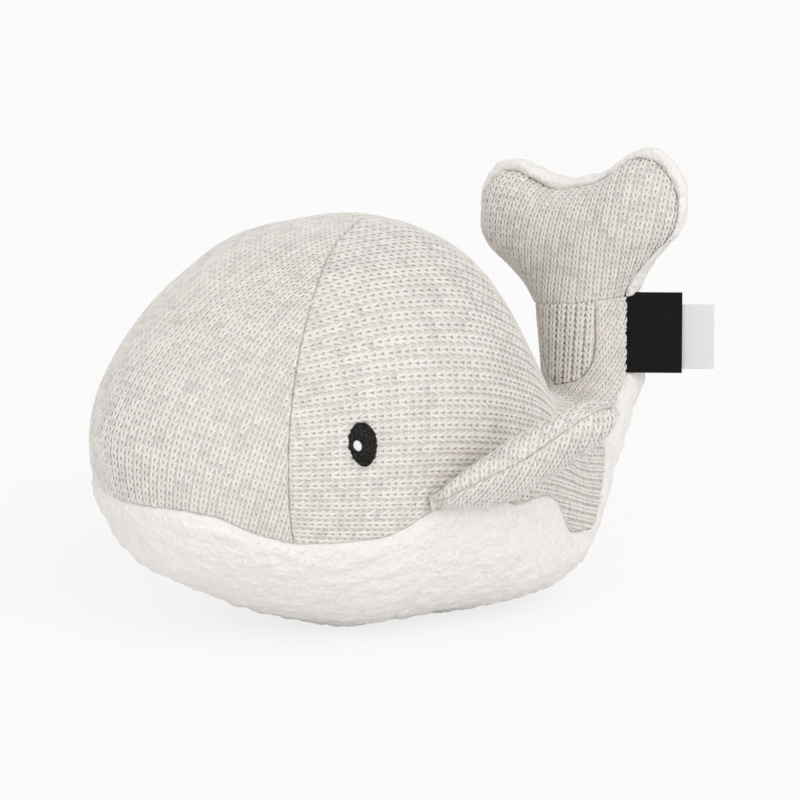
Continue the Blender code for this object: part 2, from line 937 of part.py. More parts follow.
def label(name, height, length, thickness, gap, back, material):
    # A flat strip folded at its far edge. Its root line stands the gap off the stem and the
    # given distance further back.
    middle, axis, reach, front = label_frame()
    root = middle + reach * gap - front * back
    profile = [(0.0, -thickness / 2)]
    for step in range(label_fold_steps + 1):
        angle = math.pi * (step / label_fold_steps - 0.5)
        profile.append((length - thickness / 2 * (1 - math.cos(angle)),
                        thickness / 2 * math.sin(angle)))
    profile.append((0.0, thickness / 2))
    points = []
    for end in (-1, 1):
        for out, ahead in profile:
            points.append(root + axis * end * height / 2 + reach * out + front * ahead)
    count = len(profile)
    faces = [list(range(count)), list(range(count, 2 * count))[::-1]]
    for corner in range(count):
        ahead_corner = (corner + 1) % count
        faces.append([corner, corner + count, ahead_corner + count, ahead_corner])
    return make_object(name, points, faces, material, root)


def build():
    remove_everything()
    knit = cloth_material("grey_knit", (0.62, 0.59, 0.56), 0.95)
    fleece = cloth_material("white_fleece", (0.86, 0.85, 0.83), 1.0)
    fibre = cloth_material("fibre_filling", (0.90, 0.90, 0.88), 1.0)
    black_thread = cloth_material("black_thread", (0.012, 0.012, 0.014), 0.55)
    white_thread = cloth_material("white_thread", (0.80, 0.80, 0.80), 0.50)
    black_tape = cloth_material("black_tape", (0.015, 0.015, 0.017), 0.75)
    white_satin = cloth_material("white_satin", (0.85, 0.85, 0.86), 0.35)
    forehead = forehead_patch()
    left = side_patch(1)
    right = side_patch(-1)
    belly = belly_patch()
    stem = stem_panel_patch()
    body_panel("forehead_panel", forehead, knit)
    body_panel("left_side_panel", left, knit)
    body_panel("right_side_panel", right, knit)
    body_panel("stem_front_panel", stem, knit)
    body_panel("belly_panel", belly, fleece, fleece=True)
    body_filling([forehead, left, right, belly, stem], fibre)
    fluke_panel("fluke_front_panel", 1, fluke_lip, knit_thickness, knit)
    fluke_panel("fluke_back_panel", -1, 0.0, fleece_thickness, fleece)
    fluke_filling(fibre)
    for side, hand in (("left", 1), ("right", -1)):
        fin_panel(side + "_fin_outer_panel", hand, 0.0, 1.0, fin_outer_steps, knit)
        fin_panel(side + "_fin_inner_panel", hand, 1.0, 2.0, fin_inner_steps, knit)
        fin_filling(side + "_fin_filling", hand, fibre)
        eye_disc(side + "_eye", hand, eye_half_height, eye_half_width, 0.0, eye_gap,
                 eye_thickness, black_thread)
        eye_disc(side + "_eye_highlight", hand, glint_half_height, glint_half_width,
                 glint_forward, 2 * eye_gap + eye_thickness, glint_thickness, white_thread)
    label("woven_label", woven_label_height, woven_label_reach, woven_label_thickness,
          woven_label_gap, 0.0, black_tape)
    label("care_label", care_label_height, care_label_reach, care_label_thickness,
          care_label_gap, label_spacing, white_satin)


build()
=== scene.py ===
import math

import bmesh
import bpy
import numpy as np
from mathutils import Matrix, Vector


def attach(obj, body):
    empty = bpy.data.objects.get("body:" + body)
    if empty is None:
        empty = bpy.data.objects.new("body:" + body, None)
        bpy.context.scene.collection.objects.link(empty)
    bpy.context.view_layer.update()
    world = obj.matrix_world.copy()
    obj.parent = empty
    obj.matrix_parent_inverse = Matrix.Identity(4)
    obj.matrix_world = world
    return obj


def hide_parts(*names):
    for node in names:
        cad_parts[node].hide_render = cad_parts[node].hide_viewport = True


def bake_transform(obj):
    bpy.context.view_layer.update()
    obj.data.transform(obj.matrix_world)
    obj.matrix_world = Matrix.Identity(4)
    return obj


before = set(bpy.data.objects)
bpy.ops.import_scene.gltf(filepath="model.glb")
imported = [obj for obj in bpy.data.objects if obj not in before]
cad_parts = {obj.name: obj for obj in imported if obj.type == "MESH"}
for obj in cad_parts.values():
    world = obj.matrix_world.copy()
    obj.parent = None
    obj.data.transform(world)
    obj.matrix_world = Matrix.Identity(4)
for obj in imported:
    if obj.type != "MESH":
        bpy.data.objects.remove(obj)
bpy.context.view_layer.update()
print("frame loaded:", len(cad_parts), "nodes")

bodySize = {
    "length": 0.200, "height": 0.1565, "halfWidth": 0.0825, "restCut": 0.0005,
    "stemHalfWidth": 0.0204, "stemHalfDepth": 0.0215, "stemCentreY": 0.1240,
    "stemRoundness": 2.0, "stemWidest": 0.5,
    "crotchHeight": 0.0800, "crotchRadius": 0.0040, "seamHeight": 0.1135,
    "tailTurn": 22.0, "tailRoll": 9.0,
    "sections": [
        (-0.577, 0.518, -0.577, 0.518, 0.000, 0.50, 2.15),
        (-0.533, 0.667, -0.504, 0.235, 0.416, 0.50, 2.03),
        (-0.435, 0.812, -0.380, 0.135, 0.682, 0.50, 2.08),
        (-0.300, 0.932, -0.238, 0.050, 0.870, 0.50, 2.20),
        (-0.136, 1.013, -0.099, 0.003, 0.972, 0.50, 2.35),
        (0.026, 1.026, 0.026, 0.000, 0.999, 0.44, 2.30),
        (0.179, 0.960, 0.150, 0.000, 0.954, 0.30, 2.20),
        (0.290, 0.785, 0.282, 0.008, 0.842, 0.25, 2.05),
        (0.384, 0.560, 0.404, 0.048, 0.685, 0.32, 1.95)],
    "fan": [(0.12, 0.330, 0.262), (0.28, 0.318, 0.113), (0.50, 0.279, 0.038),
            (0.75, 0.264, 0.010)],
}
seamPlaces = {
    "crown": 5.0, "foreheadAngle": 38.3, "mouth": 0.42, "corner": 2.35, "face": 1.65,
    "mouthHeights": [1.0, 1.025, 1.0, 0.895, 0.815],
    "bellyTurns": [0.615, 0.603, 0.573, 0.540, 0.520, 0.500, 0.468, 0.450, 0.480, 0.483,
                   0.510, 0.445, 0.405, 0.425, 0.445, 0.470, 0.492, 0.515, 0.493, 0.460,
                   0.435, 0.448, 0.468, 0.488],
    "stemPanel": 12.30, "stemPanelTurns": [0.0, 0.035, 0.125, 0.195, 0.220, 0.225, 0.235],
    "twistStart": 12.0, "twistEnd": 13.6, "stemColumn": 12.0, "bodyShare": 0.72,
}
flukeSize = {
    "halfSpan": 0.0500, "height": 0.0615, "halfDepth": 0.0190, "shift": 0.0020,
    "topRoundness": 6.0, "lip": 0.0034, "lipMore": 0.0030, "leftLip": 0.2, "roll": 0.42, "lap": 0.0006,
    "widths": [0.44, 0.56, 0.74, 0.93, 1.0, 0.985, 0.90],
    "tops": [0.83, 0.84, 0.88, 0.945, 0.99, 0.985, 0.90],
    "depths": [1.10, 1.05, 1.0, 0.98, 0.92, 0.86, 0.80],
}
finSize = {
    "length": 0.0780, "halfDepth": 0.0085, "front": 4.25, "back": 5.75, "lean": 40.0,
    "clearance": 0.0037, "endRoundness": 4.5, "endLeast": 0.15, "rootReach": 0.0095,
    "raised": 4.0, "shrunk": 0.975, "pivot": 0.10,
    "sections": [
        (-0.040, 0.000, -0.110, 0.070, 0.36), (0.075, 0.000, -0.088, 0.150, 0.50),
        (0.240, 0.000, -0.015, 0.260, 0.70), (0.350, 0.090, 0.088, 0.370, 0.89),
        (0.435, 0.225, 0.190, 0.480, 1.00), (0.530, 0.360, 0.306, 0.600, 1.00),
        (0.618, 0.490, 0.425, 0.700, 0.94), (0.690, 0.600, 0.530, 0.765, 0.82),
        (0.715, 0.690, 0.610, 0.795, 0.70)],
    "seam": [0.80, 0.80, 0.80, 0.80, 0.80, 0.84, 0.90, 0.97, 1.0],
}


# Curves and the body's surface. Station and turn may be arrays.
def mix(first, second, share):
    return first + (second - first) * share


def smoothStep(share):
    share = np.clip(share, 0.0, 1.0)
    return share * share * (3.0 - 2.0 * share)


def evenSlope(first, second):
    both = first * second
    total = first + second
    return np.where(both > 0, 2 * both / np.where(total == 0, 1.0, total), 0.0)


def curveValue(values, place):
    values = np.asarray(values, float)
    flat = values.ndim == 1
    if flat:
        values = values[:, None]
    place = np.clip(np.atleast_1d(np.asarray(place, float)), 0, len(values) - 1)
    last = len(values) - 1
    left = np.minimum(place.astype(int), last - 1)
    share = (place - left)[:, None]
    rise = values[left + 1] - values[left]
    before = np.where((left > 0)[:, None], values[left] - values[np.maximum(left - 1, 0)], rise)
    after = np.where((left + 2 <= last)[:, None],
                     values[np.minimum(left + 2, last)] - values[left + 1], rise)
    here = evenSlope(before, rise)
    there = evenSlope(rise, after)
    bend = here + there - 2 * rise
    result = values[left] + share * (here + share * (rise - here - bend + share * bend))
    return result[:, 0] if flat else result


def turned(points, centre, axis, degrees):
    axis = np.asarray(axis, float) / np.linalg.norm(axis)
    angle = np.radians(np.broadcast_to(degrees, len(points)))[:, None]
    arm = points - centre
    along = (arm @ axis)[:, None] * axis
    return (centre + along + (arm - along) * np.cos(angle)
            + np.cross(axis, arm) * np.sin(angle))


def buildSections():
    s = bodySize
    rows = []
    for crestY, crestZ, keelY, keelZ, width, widest, roundness in s["sections"]:
        rows.append((crestY * s["length"], crestZ * s["height"], keelY * s["length"],
                     keelZ * s["height"] - s["restCut"], width * s["halfWidth"], widest,
                     roundness))
    fanY = s["stemCentreY"] - s["stemHalfDepth"] - s["crotchRadius"]
    for turn, reach, width in s["fan"]:
        back = math.sin(math.radians(90 * turn))
        down = -math.cos(math.radians(90 * turn))
        rows.append((fanY + s["crotchRadius"] * back, s["crotchHeight"] + s["crotchRadius"] * down,
                     fanY + reach * s["height"] * back,
                     s["crotchHeight"] + reach * s["height"] * down,
                     mix(s["stemHalfWidth"], s["halfWidth"], width), s["stemWidest"],
                     s["stemRoundness"]))
    for share in (0.0, 0.5, 1.0):
        height = mix(s["crotchHeight"], s["seamHeight"], share)
        rows.append((s["stemCentreY"] - s["stemHalfDepth"], height,
                     s["stemCentreY"] + s["stemHalfDepth"], height,
                     s["stemHalfWidth"], s["stemWidest"], s["stemRoundness"]))
    nose = rows[1]
    return np.array([(nose[2], nose[3], nose[0], nose[1], -nose[4], nose[5], nose[6])] + rows)


sections = buildSections()
lastStation = float(len(sections) - 2)
tailStation = float(len(bodySize["sections"]) - 1)
tailFoot = np.array([0.0, bodySize["stemCentreY"], bodySize["crotchHeight"]])


def tailPose(points, share=1.0):
    return turned(points, tailFoot, (0, -1, 0), bodySize["tailRoll"] * share)


def flukePose(points):
    return tailPose(turned(points, tailFoot, (0, 0, 1), bodySize["tailTurn"]))


def bodyPoint(station, turn):
    station, turn = np.broadcast_arrays(np.atleast_1d(np.asarray(station, float)),
                                        np.atleast_1d(np.asarray(turn, float)))
    values = curveValue(sections, station + 1)
    crest = np.stack([0 * station, values[:, 0], values[:, 1]], 1)
    keel = np.stack([0 * station, values[:, 2], values[:, 3]], 1)
    middle = keel + (crest - keel) * values[:, 5:6]
    angle = np.pi * turn
    power = 2 / values[:, 6]
    side = np.sign(np.sin(angle)) * np.abs(np.sin(angle)) ** power
    rise = np.abs(np.cos(angle)) ** power
    end = np.where((np.cos(angle) > 0)[:, None], crest, keel)
    points = middle + (end - middle) * rise[:, None]
    points[:, 0] += values[:, 4] * side
    share = smoothStep((station - tailStation) / (lastStation - 1 - tailStation))
    return tailPose(points, share)


def bodyNormal(station, turn):
    step = 0.02
    station, turn = np.broadcast_arrays(np.atleast_1d(np.asarray(station, float)),
                                        np.atleast_1d(np.asarray(turn, float)))
    along = (bodyPoint(np.minimum(station + step, lastStation), turn)
             - bodyPoint(station - step, turn))
    around = bodyPoint(station, turn + step) - bodyPoint(station, turn - step)
    normal = np.cross(around, along)
    length = np.linalg.norm(normal, axis=1, keepdims=True)
    normal = normal / np.maximum(length, 1e-12)
    normal[station < step] = (0.0, -1.0, 0.0)
    return normal


def solve(error, low, high):
    low, high = np.array(low, float), np.array(high, float)
    for _ in range(40):
        middle = (low + high) / 2
        over = error(middle) > 0
        high = np.where(over, middle, high)
        low = np.where(over, low, middle)
    return (low + high) / 2


def mouthTurn(station):
    place = (station - seamPlaces["mouth"]) / (seamPlaces["corner"] - seamPlaces["mouth"])
    height = (bodyPoint(seamPlaces["mouth"], 1.0)[0, 2]
              * curveValue(seamPlaces["mouthHeights"], place * 4))
    found = solve(lambda turn: height - bodyPoint(station, turn)[:, 2],
                  np.full(len(station), 0.45), np.ones(len(station)))
    return np.where(place <= 0, 1.0, found)


cornerTurn = mouthTurn(np.array([seamPlaces["corner"]]))[0]


def bellyTurn(station):
    station = np.atleast_1d(np.asarray(station, float))
    turns = [cornerTurn] + seamPlaces["bellyTurns"]
    share = (station - seamPlaces["corner"]) / (lastStation - seamPlaces["corner"])
    return np.where(station <= seamPlaces["corner"],
                    mouthTurn(np.minimum(station, seamPlaces["corner"])),
                    curveValue(turns, share * (len(turns) - 1)))


def seamTwist(station):
    share = ((station - seamPlaces["twistStart"])
             / (seamPlaces["twistEnd"] - seamPlaces["twistStart"]))
    return bodySize["tailTurn"] / 180.0 * smoothStep(share)


def stemPanelTurn(station):
    share = (station - seamPlaces["stemPanel"]) / (lastStation - seamPlaces["stemPanel"])
    turns = seamPlaces["stemPanelTurns"]
    return np.where(share <= 0, 0.0, curveValue(turns, np.maximum(share, 0) * (len(turns) - 1)))


def foreheadStation(rowShares):
    crownY = bodyPoint(seamPlaces["crown"], 0.0)[0, 1]
    opening = math.tan(math.radians(seamPlaces["foreheadAngle"]))

    def error(station):
        points = bodyPoint(station, rowShares * bellyTurn(station))
        return points[:, 0] - (crownY - points[:, 1]) * opening

    found = solve(error, np.full(len(rowShares), seamPlaces["mouth"]),
                  np.full(len(rowShares), seamPlaces["crown"]))
    found[rowShares == 0] = seamPlaces["crown"]
    found[rowShares == 1] = seamPlaces["corner"]
    return found


def spacedShares(count, atStart, atEnd, rim=0.011):
    # Even steps, with three close ones where the cloth rounds over into a seam.
    close = [0.0, 0.22, 0.5, 0.8]
    low = [rim * share for share in close] if atStart else [0.0]
    high = [1 - rim * share for share in close] if atEnd else [1.0]
    inner = np.linspace(rim if atStart else 0, 1 - rim if atEnd else 1, count + 1)
    inner = inner[0 if atStart else 1:len(inner) if atEnd else -1]
    return np.unique(np.concatenate([low, inner, high]))


# Meshes of panels, each from lines of places
def gridFaces(rows, columns):
    corner = np.arange(rows * columns).reshape(rows, columns)
    return np.stack([corner[:-1, :-1], corner[1:, :-1], corner[1:, 1:], corner[:-1, 1:]],
                    axis=-1).reshape(-1, 4)


def welded(points, normals, faces):
    # One vertex for each place, and no face with less than three corners.
    keys = np.round(points * 1e7).astype(np.int64)
    _, first, index = np.unique(keys, axis=0, return_index=True, return_inverse=True)
    index = index.reshape(-1)
    kept = []
    for face in faces:
        corners = list(dict.fromkeys(int(index[corner]) for corner in face))
        if len(corners) > 2:
            kept.append(corners)
    return points[first], normals[first], kept


def meshNormals(points, faces):
    normals = np.zeros_like(points)
    for face in faces:
        corners = points[face]
        normal = np.cross(corners[1] - corners[0], corners[2] - corners[0])
        if len(face) == 4:
            normal = normal + np.cross(corners[2] - corners[0], corners[3] - corners[0])
        for corner in face:
            normals[corner] += normal
    return normals / np.maximum(np.linalg.norm(normals, axis=1, keepdims=True), 1e-12)


def rimLoops(faces):
    ahead = {}
    edges = set()
    for face in faces:
        for start, end in zip(face, face[1:] + face[:1]):
            edges.add((start, end))
    for start, end in sorted(edges):
        if (end, start) not in edges:
            ahead[start] = end
    loops = []
    while ahead:
        start = min(ahead)
        loop = [start]
        step = ahead.pop(start)
        while step != start:
            loop.append(step)
            step = ahead.pop(step)
        loops.append(loop)
    return loops


def rimDistance(points, loops):
    lines = []
    for loop in loops:
        ring = points[loop]
        ahead = np.roll(ring, -1, axis=0)
        for share in (0.0, 0.25, 0.5, 0.75):
            lines.append(mix(ring, ahead, share))
    lines = np.vstack(lines)
    found = np.empty(len(points))
    for start in range(0, len(points), 1500):
        part = points[start:start + 1500]
        found[start:start + 1500] = np.sqrt(
            ((part[:, None, :] - lines[None]) ** 2).sum(-1).min(1))
    return found


def newMesh(name, points, faces, material=None):
    mesh = bpy.data.meshes.new(name)
    mesh.from_pydata([tuple(point) for point in points], [],
                     [[int(corner) for corner in face] for face in faces])
    if material:
        mesh.materials.append(material)
    mesh.shade_smooth()
    piece = bpy.data.objects.new(name, mesh)
    bpy.context.scene.collection.objects.link(piece)
    return piece


def writeAttributes(mesh, entries):
    for label, kind, value in entries:
        attribute = mesh.attributes.new(label, kind, "POINT")
        attribute.data.foreach_set("vector" if kind == "FLOAT_VECTOR" else "value",
                                   value.astype(np.float32).reshape(-1))


def removeAttributes(mesh, labels):
    for label in labels:
        if label in mesh.attributes:
            mesh.attributes.remove(mesh.attributes[label])


def faceOutward(piece):
    tidy = bmesh.new()
    tidy.from_mesh(piece.data)
    bmesh.ops.recalc_face_normals(tidy, faces=tidy.faces)
    tidy.to_mesh(piece.data)
    tidy.free()
    piece.data.shade_smooth()


def triangleCount(mesh):
    return sum(len(polygon.vertices) - 2 for polygon in mesh.polygons)


def flatten(points, faces):
    # The cloth laid flat, as it was cut, in metres.
    piece = newMesh("flattening", points, faces)
    mesh = piece.data
    mesh.uv_layers.new(name="flat")
    bpy.ops.object.select_all(action="DESELECT")
    bpy.context.view_layer.objects.active = piece
    piece.select_set(True)
    bpy.ops.object.mode_set(mode="EDIT")
    bpy.ops.mesh.select_all(action="SELECT")
    bpy.ops.uv.unwrap(method="ANGLE_BASED", margin=0.0)
    bpy.ops.object.mode_set(mode="OBJECT")
    loops = np.zeros(len(mesh.loops), np.int32)
    mesh.loops.foreach_get("vertex_index", loops)
    places = np.zeros(len(mesh.loops) * 2, np.float32)
    mesh.uv_layers["flat"].data.foreach_get("uv", places)
    flat = np.zeros((len(points), 2))
    flat[loops] = places.reshape(-1, 2)
    real = sum(polygon.area for polygon in mesh.polygons)
    drawn = 0.0
    for polygon in mesh.polygons:
        corners = flat[list(polygon.vertices)]
        ahead = np.roll(corners, -1, axis=0)
        drawn += (corners[:, 0] * ahead[:, 1] - corners[:, 1] * ahead[:, 0]).sum() / 2
    bpy.data.objects.remove(piece, do_unlink=True)
    bpy.data.meshes.remove(mesh)
    flat = flat * math.sqrt(real / abs(drawn))
    if drawn < 0:
        flat[:, 0] *= -1
    return flat


# Node trees
class Wire:
    def __init__(self, tree, socket):
        self.tree = tree
        self.socket = socket

    def math(self, operation, first, second):
        return node(self.tree, "ShaderNodeMath", {"operation": operation},
                    {0: first, 1: second})

    def __add__(self, other):
        return self.math("ADD", self, other)

    def __sub__(self, other):
        return self.math("SUBTRACT", self, other)

    def __rsub__(self, other):
        return self.math("SUBTRACT", other, self)

    def __mul__(self, other):
        return self.math("MULTIPLY", self, other)

    def __truediv__(self, other):
        return self.math("DIVIDE", self, other)

    def __gt__(self, other):
        return self.math("GREATER_THAN", self, other)

    __radd__ = __add__
    __rmul__ = __mul__


def node(tree, kind, settings=None, values=None, output=0):
    made = tree.nodes.new(kind)
    for name, value in (settings or {}).items():
        if name == "stops":
            ramp = made.color_ramp.elements
            while len(ramp) < len(value):
                ramp.new(0.5)
            for stop, (place, colour) in zip(ramp, value):
                stop.position = place
                stop.color = (*colour, 1.0)
        else:
            setattr(made, name, value)
    for name, value in (values or {}).items():
        for part in value if isinstance(value, list) else [value]:
            if isinstance(part, Wire):
                tree.links.new(part.socket, made.inputs[name])
            elif part is not None:
                made.inputs[name].default_value = part
    return Wire(tree, made.outputs[output] if made.outputs else None)


def newTree(name, inputs):
    tree = bpy.data.node_groups.new(name, "GeometryNodeTree")
    tree.interface.new_socket("Geometry", in_out="INPUT", socket_type="NodeSocketGeometry")
    for label, kind, value in inputs:
        socket = tree.interface.new_socket(label, in_out="INPUT",
                                           socket_type="NodeSocket" + kind)
        if value is not None:
            socket.default_value = value
    tree.interface.new_socket("Geometry", in_out="OUTPUT", socket_type="NodeSocketGeometry")
    entry = tree.nodes.new("NodeGroupInput")
    return tree, {socket.name: Wire(tree, socket) for socket in entry.outputs if socket.name}


def grown(piece, tree, values):
    # What the tree makes of a piece, as a plain mesh.
    modifier = piece.modifiers.new(tree.name, "NODES")
    modifier.node_group = tree
    for item in tree.interface.items_tree:
        if item.in_out == "INPUT" and item.name in values:
            modifier[item.identifier] = values[item.name]
    bpy.context.view_layer.update()
    graph = bpy.context.evaluated_depsgraph_get()
    mesh = bpy.data.meshes.new_from_object(piece.evaluated_get(graph),
                                           preserve_all_data_layers=True, depsgraph=graph)
    piece.modifiers.remove(modifier)
    return mesh


def shaderTree(name, roughness, sheen=0.0, sheenRoughness=0.5, specular=0.5):
    material = bpy.data.materials.new(name)
    material.use_nodes = True
    tree = material.node_tree
    shader = tree.nodes["Principled BSDF"]
    shader.inputs["Roughness"].default_value = roughness
    shader.inputs["Sheen Weight"].default_value = sheen
    shader.inputs["Sheen Roughness"].default_value = sheenRoughness
    shader.inputs["Specular IOR Level"].default_value = specular
    return material, tree, shader


def drive(tree, shader, socket, wire):
    tree.links.new(wire.socket, shader.inputs[socket])


def objectPlace(tree):
    return node(tree, "ShaderNodeTexCoord", output=3)


def noiseAt(tree, place, scale, detail=2.0, roughness=0.5, output=0):
    return node(tree, "ShaderNodeTexNoise", None,
                {"Vector": place, "Scale": scale, "Detail": detail, "Roughness": roughness},
                output)


def bumped(tree, height, strength, distance, normal=None):
    return node(tree, "ShaderNodeBump", None,
                {"Strength": strength, "Distance": distance, "Height": height,
                 "Normal": normal})


def blendColours(tree, share, first, second, kind="MIX"):
    made = tree.nodes.new("ShaderNodeMix")
    made.data_type = "RGBA"
    made.blend_type = kind
    for number, value in ((0, share), (6, first), (7, second)):
        if isinstance(value, Wire):
            tree.links.new(value.socket, made.inputs[number])
        else:
            made.inputs[number].default_value = value if number == 0 else (*value, 1.0)
    return Wire(tree, made.outputs[2])


knitLook = {
    "tints": [(0.00, (0.67, 0.62, 0.59)), (0.22, (0.76, 0.715, 0.68)),
              (0.45, (0.80, 0.77, 0.715)), (0.62, (0.855, 0.785, 0.76)),
              (0.80, (0.825, 0.805, 0.745)), (1.00, (0.905, 0.86, 0.825))],
    # ground: the cloth seen between the stitches, a little darker than the yarn as painted shade in
    # the gaps
    "ground": (0.79, 0.74, 0.70), "roughness": 0.95, "sheen": 0.25,
    "fibreScale": 2400.0, "fibreBump": 0.8, "fibreDepth": 0.0005,
    "patchScale": 240.0, "patchShare": 0.25,
}


def yarnMaterial():
    material, tree, shader = shaderTree("knitYarn", knitLook["roughness"],
                                        knitLook["sheen"], 0.6, 0.15)
    place = objectPlace(tree)
    tint = node(tree, "ShaderNodeAttribute", {"attribute_name": "tint"}, None, 2)
    patch = noiseAt(tree, place, knitLook["patchScale"], 3.0, 0.6)
    fleck = noiseAt(tree, place, 1300.0, 2.0, 0.7)
    share = (tint * (1 - knitLook["patchShare"])
             + (patch * 2.2 - 0.6) * knitLook["patchShare"] + (fleck - 0.5) * 1.1)
    colour = node(tree, "ShaderNodeValToRGB", {"stops": knitLook["tints"]}, {"Fac": share})
    drive(tree, shader, "Base Color", colour)
    fibre = noiseAt(tree, place, knitLook["fibreScale"], 3.0, 0.65)
    drive(tree, shader, "Normal", bumped(tree, fibre, knitLook["fibreBump"],
                                         knitLook["fibreDepth"]))
    return material


# The cloth behind the stitches, coloured darker than the yarn: painted shade in the gaps between
# stitches; the noise varies its tone at random
def shadedGroundMaterial():
    material, tree, shader = shaderTree("knitGround", 1.0, 0.0, 0.5, 0.05)
    place = objectPlace(tree)
    fleck = noiseAt(tree, place, 700.0, 3.0, 0.6)
    drive(tree, shader, "Base Color", blendColours(
        tree, fleck, tuple(0.8 * part for part in knitLook["ground"]), knitLook["ground"]))
    drive(tree, shader, "Normal", bumped(tree, fleck, 0.6, 0.0004))
    return material


# light and shade are the fleece's colour on the tops of its curls and, darker, in the hollows between
# them: the darker one is painted shade
fleeceLook = {
    "light": (0.865, 0.830, 0.798), "shade": (0.800, 0.760, 0.725), "roughness": 0.95,
    "sheen": 0.35, "curlScale": 380.0, "strandScale": 560.0, "fibreScale": 1300.0,
}


def fleeceMaterial():
    material, tree, shader = shaderTree("curlyFleece", fleeceLook["roughness"],
                                        fleeceLook["sheen"], 0.55, 0.1)
    place = objectPlace(tree)
    curl = node(tree, "ShaderNodeTexVoronoi", {"feature": "SMOOTH_F1"},
                {"Vector": place, "Scale": fleeceLook["curlScale"], "Smoothness": 0.5})
    fibre = noiseAt(tree, place, fleeceLook["fibreScale"], 3.0, 0.7)
    strand = noiseAt(tree, place, fleeceLook["strandScale"], 2.0, 0.6)
    broad = noiseAt(tree, place, 90.0, 3.0, 0.6)
    # Darker toward the edge of each curl, where its bump sinks: painted shade in the hollows between
    # curls; the two noises vary the tone at random
    drive(tree, shader, "Base Color", blendColours(
        tree, curl * 0.45 + broad * 0.4 + (fibre - 0.5) * 0.9, fleeceLook["light"],
        fleeceLook["shade"]))
    first = bumped(tree, 1 - curl, 0.5, 0.0015)
    second = bumped(tree, strand, 0.5, 0.0013, first)
    drive(tree, shader, "Normal", bumped(tree, fibre, 0.45, 0.0006, second))
    return material


def threadMaterial(name, dark, light, roughness, scale, shine=0.12):
    material, tree, shader = shaderTree(name, roughness, 0.0, 0.5, shine)
    place = objectPlace(tree)
    # Noise mixes the two colours; in the black thread the lighter one is painted highlight
    fibre = (noiseAt(tree, place, scale, 2.0, 0.6) - 0.5) * 3.5 + 0.35
    drive(tree, shader, "Base Color", blendColours(tree, fibre, dark, light))
    drive(tree, shader, "Normal", bumped(tree, fibre, 0.4, 0.0002))
    return material


yarn = yarnMaterial()
ground = shadedGroundMaterial()
fleece = fleeceMaterial()
# The black thread's lighter speckles are painted highlights off its strands
blackThread = threadMaterial("blackThread", (0.002, 0.002, 0.002), (0.045, 0.043, 0.039),
                             0.5, 1300.0)
whiteThread = threadMaterial("whiteThread", (0.78, 0.78, 0.78), (0.92, 0.92, 0.92),
                             0.45, 1800.0)
fibreFill = threadMaterial("fibreFill", (0.80, 0.80, 0.78), (0.92, 0.92, 0.90), 1.0, 500.0)
print("materials made")


stitchSize = {
    "yarnShare": 0.252, "seed": 7, "edgeRoom": -0.0009, "seamRadius": 0.0009,
    "tuck": 0.0030, "backDepth": 0.0030, "flatSpan": 0.8, "legRings": 3, "legSides": 6,
    # Each panel's stitch: width, height, and the depth of the ground under it
    "side": (0.0042, 0.0029, 0.0003), "forehead": (0.0037, 0.0027, 0.0003),
    "stem": (0.0042, 0.0025, 0.0010), "fluke": (0.0036, 0.0026, 0.00035),
    "fin": (0.0038, 0.0027, 0.0003),
}


